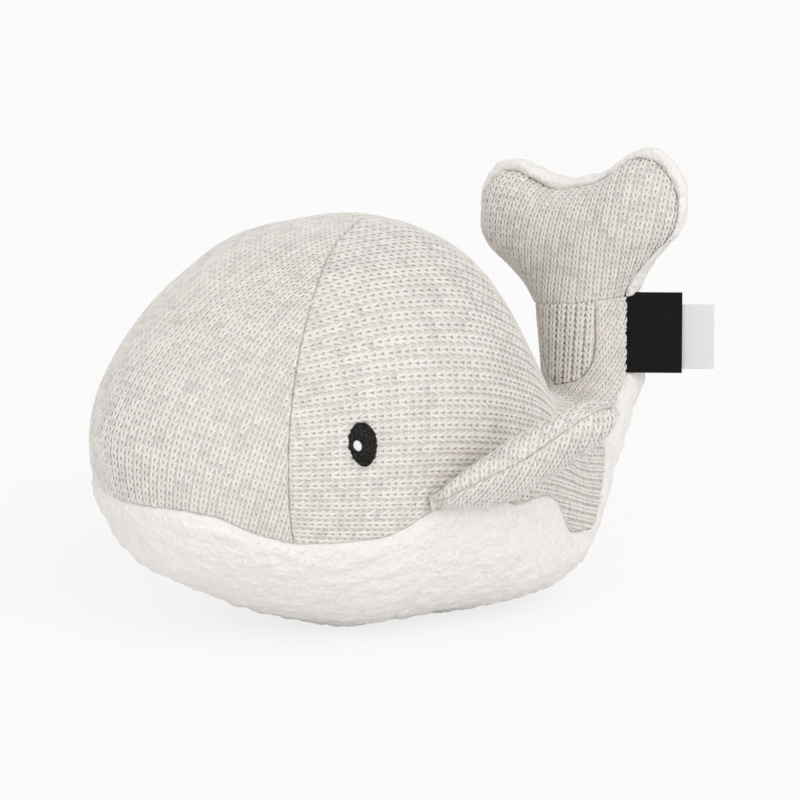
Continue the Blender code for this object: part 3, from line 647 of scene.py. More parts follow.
def knitTree():
    tree, given = newTree("knitStitches", [
        ("Panel", "Object", None), ("Wales", "Int", 10), ("Courses", "Int", 10),
        ("Wale width", "Float", stitchSize["side"][0]),
        ("Course height", "Float", stitchSize["side"][1]),
        ("Yarn radius", "Float", 0.001),
        ("Edge room", "Float", stitchSize["edgeRoom"]), ("Seed", "Int", stitchSize["seed"]),
        ("Material", "Material", None)])
    width, height = given["Wale width"], given["Course height"]
    radius = given["Yarn radius"]

    def vector(x, y, z):
        return node(tree, "ShaderNodeCombineXYZ", None, {0: x, 1: y, 2: z})

    leg = node(tree, "GeometryNodeCurvePrimitiveBezierSegment", None, {
        "Resolution": stitchSize["legRings"],
        "Start": vector(width * 0.100, height * -0.60, radius * -0.15),
        "Start Handle": vector(width * 0.13, height * -0.22, radius * 0.45),
        "End Handle": vector(width * 0.27, height * 0.22, radius * 0.45),
        "End": vector(width * 0.35, height * 0.62, radius * -0.55)})
    along = node(tree, "GeometryNodeSplineParameter")
    swell = 0.68 + along * (1 - along) * 1.6
    leg = node(tree, "GeometryNodeSetCurveRadius", None, {"Curve": leg, "Radius": swell})
    ring = node(tree, "GeometryNodeCurvePrimitiveCircle", None,
                {"Resolution": stitchSize["legSides"], "Radius": radius})
    leg = node(tree, "GeometryNodeCurveToMesh", None,
               {"Curve": leg, "Profile Curve": ring, "Scale": swell, "Fill Caps": True})
    other = node(tree, "GeometryNodeTransform", None,
                 {"Geometry": leg, "Scale": (-1.0, 1.0, 1.0)})
    other = node(tree, "GeometryNodeFlipFaces", None, {"Mesh": other})
    stitch = node(tree, "GeometryNodeJoinGeometry", None, {"Geometry": [leg, other]})
    panel = node(tree, "GeometryNodeObjectInfo", {"transform_space": "ORIGINAL"},
                 {"Object": given["Panel"]}, 4)

    def named(name, kind):
        return node(tree, "GeometryNodeInputNamedAttribute", {"data_type": kind}, {"Name": name})

    def sampled(name, kind, place, output=0):
        scaled = node(tree, "ShaderNodeVectorMath", {"operation": "MULTIPLY_ADD"},
                      {0: place, 1: (1 / stitchSize["flatSpan"],) * 3, 2: (0.5, 0.5, 0.0)})
        value = (node(tree, "GeometryNodeInputPosition") if name == "position"
                 else named(name, kind))
        return node(tree, "GeometryNodeSampleUVSurface", {"data_type": kind}, {
            "Mesh": panel, "Value": value, "UV Map": named("flat", "FLOAT_VECTOR"),
            "Sample UV": scaled}, output)

    place = node(tree, "GeometryNodeInputPosition")
    wales, courses = given["Wales"], given["Courses"]
    grid = node(tree, "GeometryNodeMeshGrid", None, {
        "Size X": wales * width, "Size Y": courses * height,
        "Vertices X": wales + 1, "Vertices Y": courses + 1})
    valid = sampled("edge", "FLOAT", place, 1)
    inside = sampled("edge", "FLOAT", place) > given["Edge room"]
    kept = node(tree, "FunctionNodeBooleanMath", {"operation": "AND"}, {0: valid, 1: inside})
    dropped = node(tree, "FunctionNodeBooleanMath", {"operation": "NOT"}, {0: kept})
    grid = node(tree, "GeometryNodeDeleteGeometry", None,
                {"Geometry": grid, "Selection": dropped})
    tint = node(tree, "FunctionNodeRandomValue", {"data_type": "FLOAT"},
                {2: 0.0, 3: 1.0, "Seed": given["Seed"]}, 1)
    grid = node(tree, "GeometryNodeStoreNamedAttribute", {"data_type": "FLOAT"},
                {"Geometry": grid, "Name": "tint", "Value": tint})
    lean = node(tree, "FunctionNodeRandomValue", {"data_type": "FLOAT"},
                {2: -0.07, 3: 0.07, "Seed": given["Seed"] + 1}, 1)
    plump = node(tree, "FunctionNodeRandomValue", {"data_type": "FLOAT"},
                 {2: 0.93, 3: 1.07, "Seed": given["Seed"] + 2}, 1)
    rows = node(tree, "GeometryNodeInstanceOnPoints", None, {
        "Points": grid, "Instance": stitch, "Rotation": vector(0.0, 0.0, lean),
        "Scale": vector(plump, 1.0, plump * 0.7)})
    rows = node(tree, "GeometryNodeRealizeInstances", None, {"Geometry": rows})
    height3 = node(tree, "ShaderNodeSeparateXYZ", None, {0: place}, 2)
    normal = node(tree, "ShaderNodeVectorMath", {"operation": "SCALE"},
                  {0: sampled("lift", "FLOAT_VECTOR", place), "Scale": height3})
    risen = node(tree, "ShaderNodeVectorMath", {"operation": "ADD"},
                 {0: normal, 1: sampled("position", "FLOAT_VECTOR", place)})
    rows = node(tree, "GeometryNodeStoreNamedAttribute", {"data_type": "FLOAT"},
                {"Geometry": rows, "Name": "held", "Value": sampled("edge", "FLOAT", place, 1)})
    rows = node(tree, "GeometryNodeSetPosition", None, {"Geometry": rows, "Position": risen})
    rows = node(tree, "GeometryNodeSetShadeSmooth", None, {"Geometry": rows})
    rows = node(tree, "GeometryNodeSetMaterial", None,
                {"Geometry": rows, "Material": given["Material"]})
    end = tree.nodes.new("NodeGroupOutput")
    tree.links.new(rows.socket, end.inputs[0])
    return tree


knitStitches = knitTree()


def seamFall(distance, radius):
    # How far the cloth has rounded down toward its seam.
    inner = np.clip(radius - distance, 0, radius)
    return radius - np.sqrt(np.maximum(radius * radius - inner * inner, 0))


def closedShell(outer, inner, faces):
    count = len(outer)
    walls = []
    for loop in rimLoops(faces):
        for start, end in zip(loop, loop[1:] + loop[:1]):
            walls.append([end, start, start + count, end + count])
    backs = [[corner + count for corner in face[::-1]] for face in faces]
    return np.vstack([outer, inner]), [list(face) for face in faces] + backs + walls


def joined(name, pieces):
    # Several meshes as one object at the origin.
    target = pieces[0]
    with bpy.context.temp_override(active_object=target, selected_objects=pieces,
                                   selected_editable_objects=pieces):
        bpy.ops.object.join()
    target.name = name
    target.data.name = name
    return target


def dropLooseLegs(mesh):
    # A leg that reaches past the cloth's map, at a sharp corner, has nowhere to lie.
    held = np.zeros(len(mesh.vertices), np.float32)
    mesh.attributes["held"].data.foreach_get("value", held)
    count = (stitchSize["legRings"] + 1) * stitchSize["legSides"]
    loose = np.repeat(held.reshape(-1, count).min(1) < 0.5, count)
    work = bmesh.new()
    work.from_mesh(mesh)
    work.verts.ensure_lookup_table()
    bmesh.ops.delete(work, geom=[work.verts[int(number)] for number in np.flatnonzero(loose)],
                     context="VERTS")
    work.to_mesh(mesh)
    work.free()
    mesh.attributes.remove(mesh.attributes["held"])


def knitPanel(name, points, normals, faces, hintPoint, hintWay, gauge, centred=False):
    size = stitchSize
    loops = rimLoops(faces)
    edge = rimDistance(points, loops)
    flat = flatten(points, faces)
    near = np.linalg.norm(points - np.array(hintPoint), axis=1)
    near = np.argsort(near, kind="stable")[:60]
    middle = flat[near].mean(0)
    spread = np.linalg.lstsq(flat[near] - middle, points[near] - points[near].mean(0),
                             rcond=None)[0]
    way = np.linalg.pinv(spread.T) @ np.array(hintWay, float)
    way = way / np.linalg.norm(way)
    flat = (flat - middle) @ np.array([[way[1], way[0]], [-way[0], way[1]]])
    low, high = flat.min(0), flat.max(0)
    centre = (low + high) / 2
    if centred:
        centre[0] = 0.0
    step = np.array(size[gauge][:2])
    counts = np.ceil((high - low) / step).astype(int) + 2
    counts[0] += counts[0] % 2
    flat = flat - centre
    fall = seamFall(edge, size["seamRadius"])
    surface = points - normals * fall[:, None]
    # Beyond its seam the cloth tucks straight down.
    mapPoints, mapNormals, mapFlat, mapEdge = [surface], [normals], [flat], [edge]
    mapFaces = [list(face) for face in faces]
    count = len(points)
    for loop in loops:
        ring = flat[loop]
        ahead = np.roll(ring, -1, axis=0) - np.roll(ring, 1, axis=0)
        out = np.stack([ahead[:, 1], -ahead[:, 0]], 1)
        out = out / np.maximum(np.linalg.norm(out, axis=1, keepdims=True), 1e-12)
        mapPoints.append(surface[loop] - normals[loop] * size["tuck"])
        mapNormals.append(normals[loop])
        mapFlat.append(ring + out * size["tuck"])
        mapEdge.append(np.full(len(loop), -size["tuck"]))
        for number, start in enumerate(loop):
            following = (number + 1) % len(loop)
            mapFaces.append([loop[following], start, count + number, count + following])
        count += len(loop)
    pattern = newMesh(name + "Map", np.vstack(mapPoints), mapFaces)
    spans = np.vstack(mapFlat) / size["flatSpan"] + 0.5
    writeAttributes(pattern.data, (
        ("flat", "FLOAT_VECTOR", np.column_stack([spans, np.zeros(len(spans))])),
        ("lift", "FLOAT_VECTOR", np.vstack(mapNormals)),
        ("edge", "FLOAT", np.concatenate(mapEdge))))
    holder = newMesh(name + "Stitches", [(0, 0, 0)], [])
    made = grown(holder, knitStitches, {
        "Panel": pattern, "Wales": int(counts[0]), "Courses": int(counts[1]),
        "Wale width": step[0], "Course height": step[1],
        "Yarn radius": step[0] * size["yarnShare"], "Edge room": size["edgeRoom"],
        "Seed": size["seed"], "Material": yarn})
    holder.data = made
    dropLooseLegs(made)
    outer = surface - normals * size[gauge][2]
    inner = points - normals * (size["backDepth"] + seamFall(edge, size["seamRadius"])[:, None])
    shellPoints, shellFaces = closedShell(outer, inner, faces)
    base = newMesh(name + "Ground", shellPoints, shellFaces, ground)
    bpy.data.objects.remove(pattern, do_unlink=True)
    piece = joined(name, [base, holder])
    print(name, "stitched,", triangleCount(piece.data), "triangles")
    return piece


def outwardFaces(points, normals, faces):
    # Faces turned so that they agree with the surface's own normals.
    sample = faces[len(faces) // 2]
    corners = points[list(sample)]
    way = np.cross(corners[1] - corners[0], corners[2] - corners[0])
    if way @ normals[list(sample)].mean(0) < 0:
        return [list(face)[::-1] for face in faces]
    return [list(face) for face in faces]


def bodyPanel(lines):
    # Lines of equal length over the body, each a pair of arrays: stations and turns.
    stations = np.array([line[0] for line in lines])
    turns = np.array([line[1] for line in lines])
    points = bodyPoint(stations.ravel(), turns.ravel())
    normals = bodyNormal(stations.ravel(), turns.ravel())
    return welded(points, normals, outwardFaces(points, normals, gridFaces(*stations.shape)))


bodyPlaces = {"rows": 34, "columns": 90, "noseRings": 8, "mouthSteps": 16, "goreSteps": 22,
              "stemSteps": 14, "bellyAround": 150}


sideRows = spacedShares(bodyPlaces["rows"], False, True, 0.012)
sideColumns = spacedShares(bodyPlaces["columns"], True, True, 0.0065)
goreStations = foreheadStation(sideRows)


def sidePlaces(columnShare, hand):
    # One column of a side panel, from its crest to the belly's seam
    bodyShare, stemColumn = seamPlaces["bodyShare"], seamPlaces["stemColumn"]
    if columnShare <= bodyShare:
        station = mix(goreStations, stemColumn, columnShare / bodyShare)
    else:
        station = np.full(len(sideRows), mix(stemColumn, lastStation,
                                             (columnShare - bodyShare) / (1 - bodyShare)))
    turn = mix(stemPanelTurn(station), bellyTurn(station), sideRows)
    return station, hand * turn + seamTwist(station)


def makeSide(name, hand):
    lines = [sidePlaces(share, hand) for share in sideColumns]
    points, normals, faces = bodyPanel(lines)
    return knitPanel(name, points, normals, faces, (0.075 * hand, -0.015, 0.095),
                     (0, 1, -0.12), "side")


def mouthLines():
    face, mouth = seamPlaces["face"], seamPlaces["mouth"]
    shares = 1 - np.linspace(0, 1, bodyPlaces["mouthSteps"] + 1)
    return mix(mouth, face, shares ** 2)[::-1]


def makeForehead():
    whole = np.concatenate([-sideRows[::-1], sideRows[1:]])
    lines = []
    for ring in range(bodyPlaces["noseRings"]):
        station = np.full(len(whole), seamPlaces["mouth"] * ring / bodyPlaces["noseRings"])
        lines.append((station, whole.copy()))
    for station in mouthLines():
        limit = bellyTurn(station)[0]
        lines.append((np.full(len(whole), station), whole * limit))
    gore = np.concatenate([goreStations[::-1], goreStations[1:]])
    for share in spacedShares(bodyPlaces["goreSteps"], False, True, 0.02)[1:]:
        station = mix(seamPlaces["face"], gore, share)
        lines.append((station, whole * bellyTurn(station)))
    points, normals, faces = bodyPanel(lines)
    return knitPanel("foreheadKnit", points, normals, faces, (0, -0.085, 0.125), (0, 0.6, 0.5),
                     "forehead", centred=True)


def makeStemPanel():
    lines = []
    across = spacedShares(bodyPlaces["stemSteps"], True, True, 0.04)
    for share in spacedShares(30, False, True, 0.02):
        station = mix(seamPlaces["stemPanel"] + 0.02, lastStation, share)
        reach = stemPanelTurn(np.array([station]))[0]
        lines.append((np.full(len(across), station),
                      mix(-reach, reach, across) + seamTwist(station)))
    points, normals, faces = bodyPanel(lines)
    return knitPanel("stemFrontKnit", points, normals, faces, (0.004, 0.103, 0.100), (0, 0, 1),
                     "stem")


# Fleece
pileSize = {
    "lumpScale": 130.0, "lumpHeight": 0.0009, "curlScale": 230.0, "curlHeight": 0.0012,
    "broadScale": 55.0, "broadHeight": 0.0005, "puff": 0.0012, "edgeWidth": 0.006,
    "rimDepth": 0.0035, "backDepth": 0.0052, "thin": 0.0013, "flukePuff": 0.0004,
    "seamRadius": 0.0012,
}


def pileTree():
    tree, given = newTree("fleecePile", [
        ("Lump scale", "Float", pileSize["lumpScale"]),
        ("Lump height", "Float", pileSize["lumpHeight"]),
        ("Curl scale", "Float", pileSize["curlScale"]),
        ("Curl height", "Float", pileSize["curlHeight"]),
        ("Broad scale", "Float", pileSize["broadScale"]),
        ("Broad height", "Float", pileSize["broadHeight"]),
        ("Material", "Material", None)])
    place = node(tree, "GeometryNodeInputPosition")

    def lumps(scale, height):
        # Round knots of pile between soft hollows
        cell = node(tree, "ShaderNodeTexVoronoi", {"feature": "SMOOTH_F1"},
                    {"Vector": place, "Scale": scale, "Smoothness": 0.35})
        return (0.75 - cell) * height

    broad = noiseAt(tree, place, given["Broad scale"], 2.0, 0.5) - 0.5
    fine = noiseAt(tree, place, given["Curl scale"], 1.0, 0.5) - 0.5
    height = (lumps(given["Lump scale"], given["Lump height"] * 1.6)
              + fine * 2 * given["Curl height"] + broad * 2 * given["Broad height"])
    pile = node(tree, "GeometryNodeInputNamedAttribute", {"data_type": "FLOAT"},
                {"Name": "pile"})
    lift = node(tree, "GeometryNodeInputNamedAttribute", {"data_type": "FLOAT_VECTOR"},
                {"Name": "lift"})
    offset = node(tree, "ShaderNodeVectorMath", {"operation": "SCALE"},
                  {0: lift, "Scale": height * pile})
    cloth = node(tree, "GeometryNodeSetPosition", None,
                 {"Geometry": given["Geometry"], "Offset": offset})
    cloth = node(tree, "GeometryNodeRealizeInstances", None, {"Geometry": cloth})
    cloth = node(tree, "GeometryNodeSetMaterial", None,
                 {"Geometry": cloth, "Material": given["Material"]})
    end = tree.nodes.new("NodeGroupOutput")
    tree.links.new(cloth.socket, end.inputs[0])
    return tree


fleecePile = pileTree()


def fleecePanel(name, points, normals, faces, rimDepth, backDepth, puff, floor=False):
    size = pileSize
    edge = rimDistance(points, rimLoops(faces))
    fullness = smoothStep(edge / size["edgeWidth"])
    outer = points + normals * (puff * fullness
                                - seamFall(edge, size["seamRadius"]))[:, None]
    inner = points - normals * (mix(rimDepth, backDepth, fullness))[:, None]
    count = len(points)
    shellPoints, shellFaces = closedShell(outer, inner, faces)
    holder = newMesh(name, shellPoints, shellFaces, fleece)
    pile = np.concatenate([smoothStep(edge / 0.002), np.zeros(count)])
    writeAttributes(holder.data, (("pile", "FLOAT", pile),
                                  ("lift", "FLOAT_VECTOR", np.vstack([normals, normals]))))
    made = grown(holder, fleecePile, {
        "Lump scale": size["lumpScale"], "Lump height": size["lumpHeight"],
        "Curl scale": size["curlScale"], "Curl height": size["curlHeight"],
        "Broad scale": size["broadScale"], "Broad height": size["broadHeight"],
        "Material": fleece})
    old = holder.data
    holder.data = made
    made.name = name
    bpy.data.meshes.remove(old)
    removeAttributes(made, ["pile", "lift"])
    if floor:
        # The toy rests on this cloth, which its weight flattens.
        for number, vertex in enumerate(made.vertices):
            if vertex.co.z < 0.0002:
                vertex.co.z = 0.0002 if number < count else 0.0022
    made.shade_smooth()
    print(name, "piled,", triangleCount(made), "triangles")
    return holder


def makeBelly():
    stations = list(mouthLines())
    face, corner = seamPlaces["face"], seamPlaces["corner"]
    stations += list(np.linspace(face, corner, 22)[1:])
    stations += list(np.linspace(corner, seamPlaces["stemColumn"], 150)[1:])
    stations += list(np.linspace(seamPlaces["stemColumn"], lastStation, 46)[1:])
    around = spacedShares(bodyPlaces["bellyAround"], True, True, 0.008)
    lines = []
    for station in stations:
        limit = bellyTurn(station)[0]
        lines.append((np.full(len(around), station),
                      mix(limit, 2 - limit, around) + seamTwist(station)))
    points, normals, faces = bodyPanel(lines)
    return fleecePanel("bellyFleece", points, normals, faces, pileSize["rimDepth"],
                       pileSize["backDepth"], pileSize["puff"], floor=True)


# Fluke
def flukeSurface(side, lipShare, rollShare=0.0):
    # The knit ends a lip short of the rim, and the fleece rolls over to meet it.
    s = flukeSize

    def place(across, rise):
        steps = len(s["widths"]) - 1
        sideLip = s["lip"] * mix(s["leftLip"], 1.0, smoothStep(across + 0.5))
        topLip = s["lip"] + s["lipMore"] * np.exp(-((across + 0.42) / 0.30) ** 2)
        halfWidth = s["halfSpan"] * curveValue(s["widths"], rise * steps) - sideLip * lipShare
        top = s["height"] * curveValue(s["tops"], np.abs(across) * steps) - topLip * lipShare
        depth = s["halfDepth"] * curveValue(s["depths"], rise * steps)
        depth = depth * np.sqrt(np.maximum(1 - across * across, 0))
        depth = depth * np.sqrt(np.maximum(1 - rise ** s["topRoundness"], 0))
        depth = depth + s["roll"] * rollShare * mix(sideLip, topLip, rise ** 4)
        height = bodySize["seamHeight"] - s["lap"] * (1 - rise) + top * rise
        return flukePose(np.stack([halfWidth * across + s["shift"] * smoothStep(rise),
                                   bodySize["stemCentreY"] - side * depth, height], 1))
    return place


flukePlaces = {"columns": 56, "rows": 44}


def flukeLines():
    rises = np.sin(math.pi / 2 * spacedShares(flukePlaces["rows"], True, False, 0.02))
    columns = np.sin(math.pi * (np.linspace(0, 1, flukePlaces["columns"] + 1) - 0.5))
    return [(columns, np.full(len(columns), rise)) for rise in rises]


def makeFlukePanel(side, lipShare):
    surface = flukeSurface(side, lipShare)
    lines = flukeLines()
    across = np.array([line[0] for line in lines])
    rise = np.array([line[1] for line in lines])
    points = surface(across.ravel(), rise.ravel())
    faces = [list(face) for face in gridFaces(*across.shape)]
    if side < 0:
        rimAcross = np.concatenate([across[:, 0], across[-1, 1:], across[-2::-1, -1]])
        rimRise = np.concatenate([rise[:, 0], rise[-1, 1:], rise[-2::-1, -1]])
        rings = []
        for share in np.linspace(0.0, 1.6, 13):
            roll = math.sin(math.pi * min(share, 1.0)) if share else 0.0
            rings.append(flukeSurface(1, share, roll)(rimAcross, rimRise))
        more = gridFaces(len(rings), len(rimAcross)) + len(points)
        faces += [list(face) for face in more]
        points = np.vstack([points] + rings)
    else:
        faces = [face[::-1] for face in faces]
    points, _, faces = welded(points, np.zeros_like(points), faces)
    normals = meshNormals(points, faces)
    return points, normals, faces


# Fins
def finFrame():
    stations = np.array([finSize["front"], finSize["back"]])
    front, back = bodyPoint(stations, bellyTurn(stations))
    along = (back - front) / np.linalg.norm(back - front)
    outward = np.cross(along, (0, 0, 1))
    outward = outward / np.linalg.norm(outward)
    upright = np.cross(outward, along)
    lean = math.radians(finSize["lean"])
    rising = upright * math.cos(lean) + outward * math.sin(lean)
    facing = outward * math.cos(lean) - upright * math.sin(lean)
    return front + outward * finSize["clearance"], along, rising, facing, outward


def finSurface():
    root, along, rising, facing, outward = finFrame()
    s = finSize
    raised = math.radians(s["raised"])
    pivot = np.array([s["pivot"] * s["length"], 0.0])
    turning = s["shrunk"] * np.array([[math.cos(raised), math.sin(raised)],
                                      [-math.sin(raised), math.cos(raised)]])
    last = float(len(s["sections"]) - 1)
    scaled = np.array(s["sections"]) * ([s["length"]] * 4 + [s["halfDepth"]])

    def place(where, angleShare):
        values = curveValue(scaled, where)
        end = np.abs(2 * where / last - 1) ** s["endRoundness"]
        end = np.maximum(np.sqrt(np.maximum(1 - end, 0)), s["endLeast"])
        centre = np.stack([values[:, 0] + values[:, 2], values[:, 1] + values[:, 3]], 1) / 2
        half = np.stack([values[:, 2] - values[:, 0], values[:, 3] - values[:, 1]], 1) / 2
        half = half * end[:, None]
        depth = values[:, 4] * end
        angle = np.pi * angleShare
        flat = pivot + (centre - half * np.cos(angle)[:, None] - pivot) @ turning
        points = (root + flat[:, :1] * along + flat[:, 1:] * rising
                  + (depth * np.sin(angle))[:, None] * facing)
        # The root is sewn into the belly's seam, so it reaches in to the body.
        held = 1 - smoothStep(flat[:, 1] / s["rootReach"])
        return points - outward * (s["clearance"] + 0.0008) * held[:, None]
    return place, last


def makeFinPanel(name, hand, first, second):
    place, last = finSurface()
    columns = last * (1 - np.cos(math.pi * np.linspace(0, 1, 49))) / 2
    steps = spacedShares(16, True, True, 0.03)
    where, angles = [], []
    for column in columns:
        seam = curveValue(finSize["seam"], column)[0]
        turn = mix(first, second, steps)
        angles.append(np.where(turn <= 1, seam * turn, mix(seam, 2.0, turn - 1)))
        where.append(np.full(len(steps), column))
    where, angles = np.array(where), np.array(angles)
    points = place(where.ravel(), angles.ravel())
    faces = [list(face)[::-1] for face in gridFaces(*where.shape)]
    if hand < 0:
        points = points * (-1, 1, 1)
        faces = [face[::-1] for face in faces]
    _, along, rising, facing, _ = finFrame()
    outer = first == 0
    flip = np.array([hand, 1, 1])
    normals = meshNormals(points, faces)
    if normals.mean(0) @ (facing * flip) * (1 if outer else -1) < 0:
        faces = [face[::-1] for face in faces]
        normals = -normals
    hint = rising if outer else along
    return knitPanel(name, points, normals, faces, points.mean(0), hint * flip, "fin")


forehead = makeForehead()
leftSide = makeSide("leftSideKnit", 1)
rightSide = makeSide("rightSideKnit", -1)
stemFront = makeStemPanel()
belly = makeBelly()
for piece, cadNode, slot in ((forehead, "forehead_panel", "grey_knit"),
                             (leftSide, "left_side_panel", "grey_knit"),
                             (rightSide, "right_side_panel", "grey_knit"),
                             (stemFront, "stem_front_panel", "grey_knit"),
                             (belly, "belly_panel", "white_fleece")):
    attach(piece, "body")
    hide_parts(cadNode)
print("body panels made")

flukeRoot = flukePose(np.array([[0.0, bodySize["stemCentreY"], bodySize["seamHeight"]]]))[0]
flukeTop = flukePose(np.array([[0.0, bodySize["stemCentreY"],
                                bodySize["seamHeight"] + 0.016]]))[0]
points, normals, faces = makeFlukePanel(1, 1.0)
flukeFront = knitPanel("flukeFrontKnit", points, normals, faces, points.mean(0), (0, 0, 1), "fluke")
points, normals, faces = makeFlukePanel(-1, 0.0)
flukeBack = fleecePanel("flukeBackFleece", points, normals, faces, pileSize["thin"],
                        pileSize["thin"], pileSize["flukePuff"])
for piece, cadNode, slot in ((flukeFront, "fluke_front_panel", "grey_knit"),
                             (flukeBack, "fluke_back_panel", "white_fleece")):
    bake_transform(piece)
    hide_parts(cadNode)
print("fluke made")

finRoot, finAlong, finRising, finFacing, _ = finFrame()
for word, hand in (("left", 1), ("right", -1)):
    flip = np.array([hand, 1, 1])
    start = finRoot * flip
    end = (finRoot + finRising * 0.012) * flip
    for label, first, second in (("Outer", 0.0, 1.0), ("Inner", 1.0, 2.0)):
        piece = makeFinPanel(word + "Fin" + label + "Knit", hand, first, second)
        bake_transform(piece)
        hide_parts(word + "_fin_" + label.lower() + "_panel")
print("fins made")


# Embroidered eyes: satin stitches across an oval pad
eyeSize = {
    "archPower": 0.45, "endShare": 0.35, "glintSlant": -20.0, "glintSeat": 0.95,
    "glintCrown": 0.0004, "glintThread": 0.85,
    "halfHeight": 0.0084, "halfWidth": 0.0060, "tilt": 9.0, "station": 3.25, "turn": 0.4555,
    "thread": 0.00022, "rows": 58, "crown": 0.0011, "base": 0.0010, "slant": 14.0,
    "glintHalfHeight": 0.0021, "glintHalfWidth": 0.0019, "glintForward": 0.0025,
    "glintRows": 12, "seed": 11,
}


def eyeFrame():
    s = eyeSize
    step = 0.02
    along = (bodyPoint(s["station"] + step, s["turn"])
             - bodyPoint(s["station"] - step, s["turn"]))[0] / (2 * step)
    down = (bodyPoint(s["station"], s["turn"] + step)
            - bodyPoint(s["station"], s["turn"] - step))[0] / (2 * step)
    normal = bodyNormal(s["station"], s["turn"])[0]
    upright = np.array([0, 0, 1.0]) - normal * normal[2]
    upright = upright / np.linalg.norm(upright)
    ahead = np.cross(normal, upright)
    tilt = math.radians(s["tilt"])
    tall = upright * math.cos(tilt) + ahead * math.sin(tilt)
    wide = ahead * math.cos(tilt) - upright * math.sin(tilt)
    return np.column_stack([along, down]), wide, tall


def onFace(offsets, heights):
    grid, wide, tall = eyeFrame()
    ways = offsets[:, :1] * wide + offsets[:, 1:] * tall
    places = np.linalg.lstsq(grid, ways.T, rcond=None)[0].T
    station = eyeSize["station"] + places[:, 0]
    turn = eyeSize["turn"] + places[:, 1]
    return bodyPoint(station, turn) + bodyNormal(station, turn) * heights[:, None]


def satinOval(name, halfWidth, halfHeight, centre, rows, slant, base, crown, thread, seed,
              material, hand):
    draw = np.random.default_rng(seed)
    offsets, heights, faces = [], [], []
    sides, steps = 5, 9
    angle = math.radians(slant)
    way = np.array([math.cos(angle), math.sin(angle)])
    across = np.array([-math.sin(angle), math.cos(angle)])
    reach = 1 / math.sqrt((way[0] / halfWidth) ** 2 + (way[1] / halfHeight) ** 2)
    span = math.sqrt((halfWidth * across[0]) ** 2 + (halfHeight * across[1]) ** 2)
    for row in range(rows):
        level = (row + 0.5) / rows * 2 - 1
        level = level * 0.985
        # The chord of the oval along the thread's way, at this level
        spot = across * level * span
        a = (way[0] / halfWidth) ** 2 + (way[1] / halfHeight) ** 2
        b = 2 * (spot[0] * way[0] / halfWidth ** 2 + spot[1] * way[1] / halfHeight ** 2)
        c = (spot[0] / halfWidth) ** 2 + (spot[1] / halfHeight) ** 2 - 1
        root = math.sqrt(max(b * b - 4 * a * c, 0.0))
        low = (-b - root) / (2 * a) - draw.uniform(-0.015, 0.02) * reach
        high = (-b + root) / (2 * a) + draw.uniform(-0.015, 0.02) * reach
        lean = draw.uniform(-0.2, 0.2) * thread
        count = len(offsets) * sides
        for step in range(steps):
            share = step / (steps - 1)
            middle = spot + way * mix(low, high, share) + across * lean * (share - 0.5)
            inside = 1 - ((middle[0] / halfWidth) ** 2 + (middle[1] / halfHeight) ** 2)
            arch = math.sin(math.pi * share) ** eyeSize["archPower"]
            rise = base + crown * math.sqrt(max(inside, 0.0)) * arch
            ring = []
            for side in range(sides):
                turn = 2 * math.pi * side / sides + math.pi / 2
                width = thread * (eyeSize["endShare"] if step in (0, steps - 1) else 1.0)
                ring.append((middle + across * width * math.cos(turn) + centre,
                             rise + width * math.sin(turn)
                             - (base + thread if step in (0, steps - 1) else 0)))
            offsets.append([spot for spot, _ in ring])
            heights.append([high for _, high in ring])
        for step in range(steps - 1):
            for side in range(sides):
                here = count + step * sides + side
                ahead = count + step * sides + (side + 1) % sides
                faces.append([here, ahead, ahead + sides, here + sides])
        faces.append([count + side for side in range(sides)][::-1])
        faces.append([count + (steps - 1) * sides + side for side in range(sides)])
    offsets = np.array(offsets).reshape(-1, 2)
    heights = np.array(heights).reshape(-1)
    points = onFace(offsets, heights)
    if hand < 0:
        points = points * (-1, 1, 1)
    piece = newMesh(name, points, faces, material)
    faceOutward(piece)
    return piece


for word, hand in (("left", 1), ("right", -1)):
    s = eyeSize
    eye = satinOval(word + "EyeThread", s["halfWidth"], s["halfHeight"], np.zeros(2),
                    s["rows"], s["slant"], s["base"], s["crown"], s["thread"], s["seed"],
                    blackThread, hand)
    glint = satinOval(word + "EyeHighlightThread", s["glintHalfWidth"], s["glintHalfHeight"],
                      np.array([s["glintForward"], 0.0]), s["glintRows"], s["glintSlant"],
                      s["base"] + s["crown"] * s["glintSeat"], s["glintCrown"],
                      s["thread"] * s["glintThread"],
                      s["seed"] + 1, whiteThread, hand)
    for piece, cadNode, slot in ((eye, word + "_eye", "black_thread"),
                                 (glint, word + "_eye_highlight", "white_thread")):
        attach(piece, "body")
        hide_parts(cadNode)
print("eyes stitched")


# Blank labels
labelSize = {
    "lowStation": 13.08, "highStation": 14.95, "heading": 55.0,
    "wovenHeight": 0.0343, "wovenReach": 0.0225, "wovenThickness": 0.0011, "wovenLift": 0.0016,
    "careHeight": 0.0275, "careReach": 0.0350, "careThickness": 0.0004,
    "wovenGap": 0.0010, "careGap": 0.0024, "spacing": 0.0014, "tuck": 0.0030, "bend": 0.0045,
    "wovenBow": 0.0004, "careBow": -0.0007, "wallShare": 0.42, "steps": 14, "turnSteps": 6,
    "rows": 17, "waveShare": 0.35, "waves": 5.0, "slope": 2.0,
}


def labelFrame():
    s = labelSize
    stations = np.array([s["lowStation"], s["highStation"]])
    low, high = bodyPoint(stations, bellyTurn(stations) + seamTwist(stations))
    axis = (high - low) / np.linalg.norm(high - low)
    heading = math.radians(s["heading"])
    reach = np.array([math.cos(heading), math.sin(heading), 0.0])
    reach = reach - axis * (reach @ axis)
    reach = reach / np.linalg.norm(reach)
    return (low + high) / 2, axis, reach, np.cross(axis, -reach)


